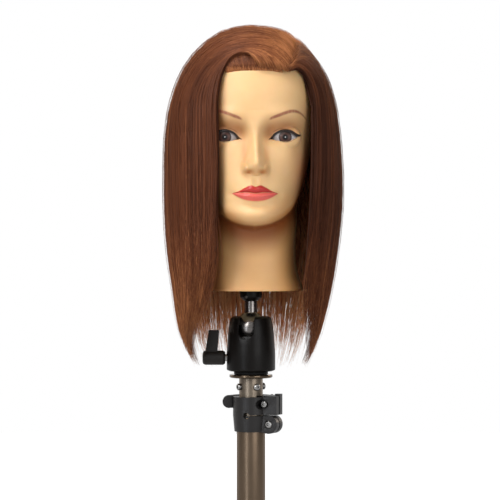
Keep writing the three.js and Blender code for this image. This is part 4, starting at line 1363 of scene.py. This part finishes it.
def make_clamp(look):
    """The split collar, its two bolts, and the lever that closes it. All is drawn with the ears along +X."""
    bore, tube_bore, foot, top = 13.5, 16.3, 100.5, 139
    half, split, reach = 8.1, 1.2, 34.6  # half the ears' width, half the split in them, how far they reach
    slot, slot_high = 118.2, 1.5  # between the band round the inner tube and the one round the outer
    bands = [(tube_bore, foot), (18.4, foot), (20, slot), (20, top), (bore, top), (bore, slot),
             (tube_bore, slot)]
    ears = block(10, reach, -half, half, slot + slot_high, 140.5)
    stop = block(reach - 6, reach, split, half, slot + slot_high + 2.6, 142.5)
    lower = prism([*arc(LOWER_BOLT, 10.3, -90, 69.2, 40), (14, slot), (14, foot)], -half, half, "XZ")

    def across(radius, low, high, bolt):
        return placed(rod_solid(radius, low, high, 64), x=-90, move=(bolt[0], 0, bolt[1]))

    cuts = [
        rod_solid(bore, slot - 1, 150, SIDES),
        rod_solid(tube_bore, 90, slot, SIDES),
        block(0, 50, -split, split, 90, 150),
        block(3.3, 50, -30, 30, slot, slot + slot_high),
        block(12, reach - 8, half, 30, slot + slot_high, 150),
        placed(rod_solid(3.5, -30, 30, 64), x=-90, move=(3.3, 0, slot + 0.5)),
        across(2.8, -20, 20, UPPER_BOLT), across(6, -20, 4.2 - half, UPPER_BOLT),
        across(2.8, -20, 20, LOWER_BOLT), across(4.6, -20, 3 - half, LOWER_BOLT),
        placed(hexagon_solid(4.9, half - 4.5, 20), x=-90, move=(LOWER_BOLT[0], 0, LOWER_BOLT[1])),
    ]
    stand_piece("collar_body", turned_solid(bands), "clamp_collar", look["plastic"], cuts=cuts,
                joins=[ears, stop, lower], bevel=0.5, turn=CLAMP_TURN)

    def bolt(head, high, seat, long, place):
        solids = screw_solid(head, high, 2.5, long), hexagon_solid(head * 0.5, high * 0.45, high + 1)
        return [placed(solid, x=90, move=(place[0], seat, place[1])) for solid in solids]

    head_at = 3 - half - GAP
    body, socket = bolt(4, 3.4, head_at, half - head_at - 1, LOWER_BOLT)
    stand_piece("clamp_screw", body, "lower_clamp_screw", look["screw"], cuts=[socket], turn=CLAMP_TURN)
    nut = placed(hexagon_solid(4.5, half - 4.2, half - 0.2), x=-90, move=(LOWER_BOLT[0], 0, LOWER_BOLT[1]))
    stand_piece("clamp_nut", nut, "lower_clamp_nut", look["steel"], cuts=[across(2.8, 0, 20, LOWER_BOLT)],
                bevel=0.3, turn=CLAMP_TURN)

    pin = (18.7, 15.2)
    head_at = 4.2 - half - GAP
    body, socket = bolt(3.8, 3.2, head_at, pin[1] - head_at - 2, UPPER_BOLT)
    eye = placed(rod_solid(4, 127.7, 134.3, 64), move=(*pin, 0))
    stand_piece("ear_bolt", body, "tension_bolt", look["screw"], joins=[eye],
                cuts=[socket, placed(rod_solid(1.9, 100, 160), move=(*pin, 0))], turn=CLAMP_TURN)
    washer = block(12.7, 24.7, half + GAP, half + GAP + 1, 124, 138)
    stand_piece("cam_plate", washer, "cam_washer", look["steel"], cuts=[across(2.8, -5, 15, UPPER_BOLT)],
                bevel=0.25, turn=CLAMP_TURN)
    outline = [(0, 124.6), (1.3, 124.6), (1.6, 124.9), (1.6, 140.7), (1.3, 141), (0, 141)]
    hinge = placed(turned_solid(outline, sides=48), move=(*pin, 0))
    stand_piece("hinge_pin", hinge, "lever_pin", look["steel"], turn=CLAMP_TURN)

    inner, low, high = 20.8, 125.8, 140.0
    arm = prism(arc((0, 0), inner + 4.2, 42, 192, 90) + arc((0, 0), inner, 192, 42, 90), low, high)
    cam = placed(rod_solid(5.4, low, high, 64), move=(*pin, 0))
    thumb = placed(rod_solid(7.1, -2.6, 2.6, 72), x=-90, z=-CLAMP_TURN, move=(-24.8, -5, (low + high) / 2))
    cuts = [rod_solid(inner, 100, 160, SIDES), placed(rod_solid(9, 127.2, 134.8, 64), move=(*pin, 0)),
            placed(rod_solid(1.9, 100, 160), move=(*pin, 0))]
    stand_piece("clamp_lever", arm, "flip_lever", look["plastic"], joins=[thumb, cam], cuts=cuts,
                bevel=0.5, turn=CLAMP_TURN)


def make_stand():
    look = {
        "tube": brushed_metal("anodised tube", (0.17, 0.122, 0.084), 0.32, dirt=0.04),
        "inner": brushed_metal("lighter anodised tube", (0.22, 0.18, 0.14), 0.34, dirt=0.05),
        "bronze": polished_metal("bronzed flange", (0.13, 0.095, 0.065), 0.13),
        "dark_chrome": polished_metal("dark chrome", (0.24, 0.22, 0.21), 0.23),
        "screw": polished_metal("chromed screws", (0.36, 0.35, 0.34), 0.27),
        "steel": brushed_metal("plain steel", (0.5, 0.49, 0.47), 0.3),
        "satin": coated("satin black alloy", (0.0034, 0.0026, 0.0022), 0.34, 500, 0.04, 0.16),
        "rough": coated("rough black coat", (0.009, 0.0075, 0.0065), 0.5, 900, 0.5, 0.25),
        "plastic": coated("black plastic", (0.01, 0.0088, 0.0088), 0.38, 1400, 0.14, 0.38),
        "rubber": coated("black rubber", (0.006, 0.0056, 0.0054), 0.6, 1200, 0.2, 0.2),
        "nylon": moulded("black nylon", (0.03, 0.028, 0.026), 0.45),
    }
    make_column(look)
    make_ball_head(look)
    make_lock_lever(look)
    make_clamp(look)
    for node in ("top_bush", "slide_shim", "top_liner", "seat_cup", "neck_insert"):
        dress(frame["nodes"][node], look["nylon"])
    for node in ("mount_bolt", "seat_spring", "clamp_plunger"):
        dress(frame["nodes"][node], look["steel"])


# ---------------------------------------------------------------- stage, lights and camera
# How bright the white studio is round the object: a place from the front, 0, to the back, 1, and its level.
STUDIO_LIGHT = [(0.1, 0.44), (0.42, 0.3), (0.6, 0.3), (0.85, 0.9)]
FLOOR = {"reach": 14.0, "z": -1.15, "seen": 1.2, "glow": 0.42}
FACE_POINT = (0, 0, 0.42)
RIM_COLOUR = (1, 0.82, 0.64)
# Name, place, the point it lights, size, watts, colour.
LIGHTS = [
    ("key", (-1.05, -1.4, 1.05), FACE_POINT, (0.8, 0.9), 16.6, (1, 1, 1)),
    ("fill", (1.1, -1.7, 0.6), FACE_POINT, (1.1, 1.1), 9.5, (1, 1, 1)),
    ("strip", (-0.86, -1.23, 0.08), (0, 0, 0.08), (0.22, 1.0), 2.2, (0.86, 0.93, 1)),
    ("top", (-0.35, -0.55, 1.5), (0, 0, 0.54), (0.6, 0.4), 11, (1, 1, 1)),
    ("rim_left", (-1.3, 0.9, 0.75), FACE_POINT, (0.3, 0.6), 5.5, RIM_COLOUR),
    ("rim_right", (1.3, 0.9, 0.75), FACE_POINT, (0.3, 0.6), 5.5, RIM_COLOUR),
]
CAMERA = {"lens": 162.1, "x": -0.0011, "y": -2.5, "z": 0.32, "target_z": 0.3016}


def aimed(thing, place, target):
    """An object moved to a place and turned to look at a point."""
    thing.location = place
    thing.rotation_euler = (Vector(target) - Vector(place)).to_track_quat("-Z", "Y").to_euler()
    return thing


def make_stage():
    mesh = bpy.data.meshes.new("studio_floor")
    reach = FLOOR["reach"]
    corners = [(x * reach, y * reach, FLOOR["z"]) for x, y in ((-1, -1), (1, -1), (1, 1), (-1, 1))]
    mesh.from_pydata(corners, [], [(0, 1, 2, 3)])
    floor = new_object("studio_floor", mesh)
    n = Nodes("pale floor")
    seen = n.add("ShaderNodeLightPath").outputs["Is Camera Ray"]
    n.set(Base_Color=(0.4, 0.4, 0.4, 1), Roughness=0.9, Emission_Color=(1, 1, 1, 1),
          Emission_Strength=n.map(seen, 0, 1, FLOOR["glow"], FLOOR["seen"]))
    floor.data.materials.append(n.made)


def make_studio():
    """A white studio, which lights the object more from behind than from the front and the sides."""
    n = Nodes("studio", "worlds", "Background")
    direction = n.add("ShaderNodeTexCoord").outputs["Generated"]
    to_back = n.add("ShaderNodeSeparateXYZ", {"Vector": direction}).outputs["Y"]
    level = n.ramp(n.map(to_back, -1, 1, 0, 1), [(place, (light,) * 3) for place, light in STUDIO_LIGHT])
    seen = n.add("ShaderNodeLightPath").outputs["Is Camera Ray"]
    n.set(Color=(1, 1, 1, 1), Strength=n.map(seen, 0, 1, level, 1.0))
    bpy.context.scene.world = n.made
    for name, place, target, size, power, colour in LIGHTS:
        data = bpy.data.lights.new(name, "AREA")
        data.shape = "RECTANGLE"
        data.size, data.size_y = size
        data.energy = power
        data.color = colour
        aimed(new_object(name, data), place, target)
    bpy.context.scene.view_settings.view_transform = "Standard"


def make_camera():
    data = bpy.data.cameras.new("camera")
    data.lens = CAMERA["lens"]
    data.sensor_width = 36
    data.clip_start = 0.05
    place = (CAMERA["x"], CAMERA["y"], CAMERA["z"])
    bpy.context.scene.camera = aimed(new_object("camera", data), place, (CAMERA["x"], 0, CAMERA["target_z"]))


make_camera()
make_studio()
make_stage()
dress(make_head(), skin_material())
make_foam()
eye_look = eye_material()
for side, name, node in ((-1, "left_eye", "eye_left"), (1, "right_eye", "eye_right")):
    dress(make_eye(side, name, node), eye_look)
make_hair()
make_stand()
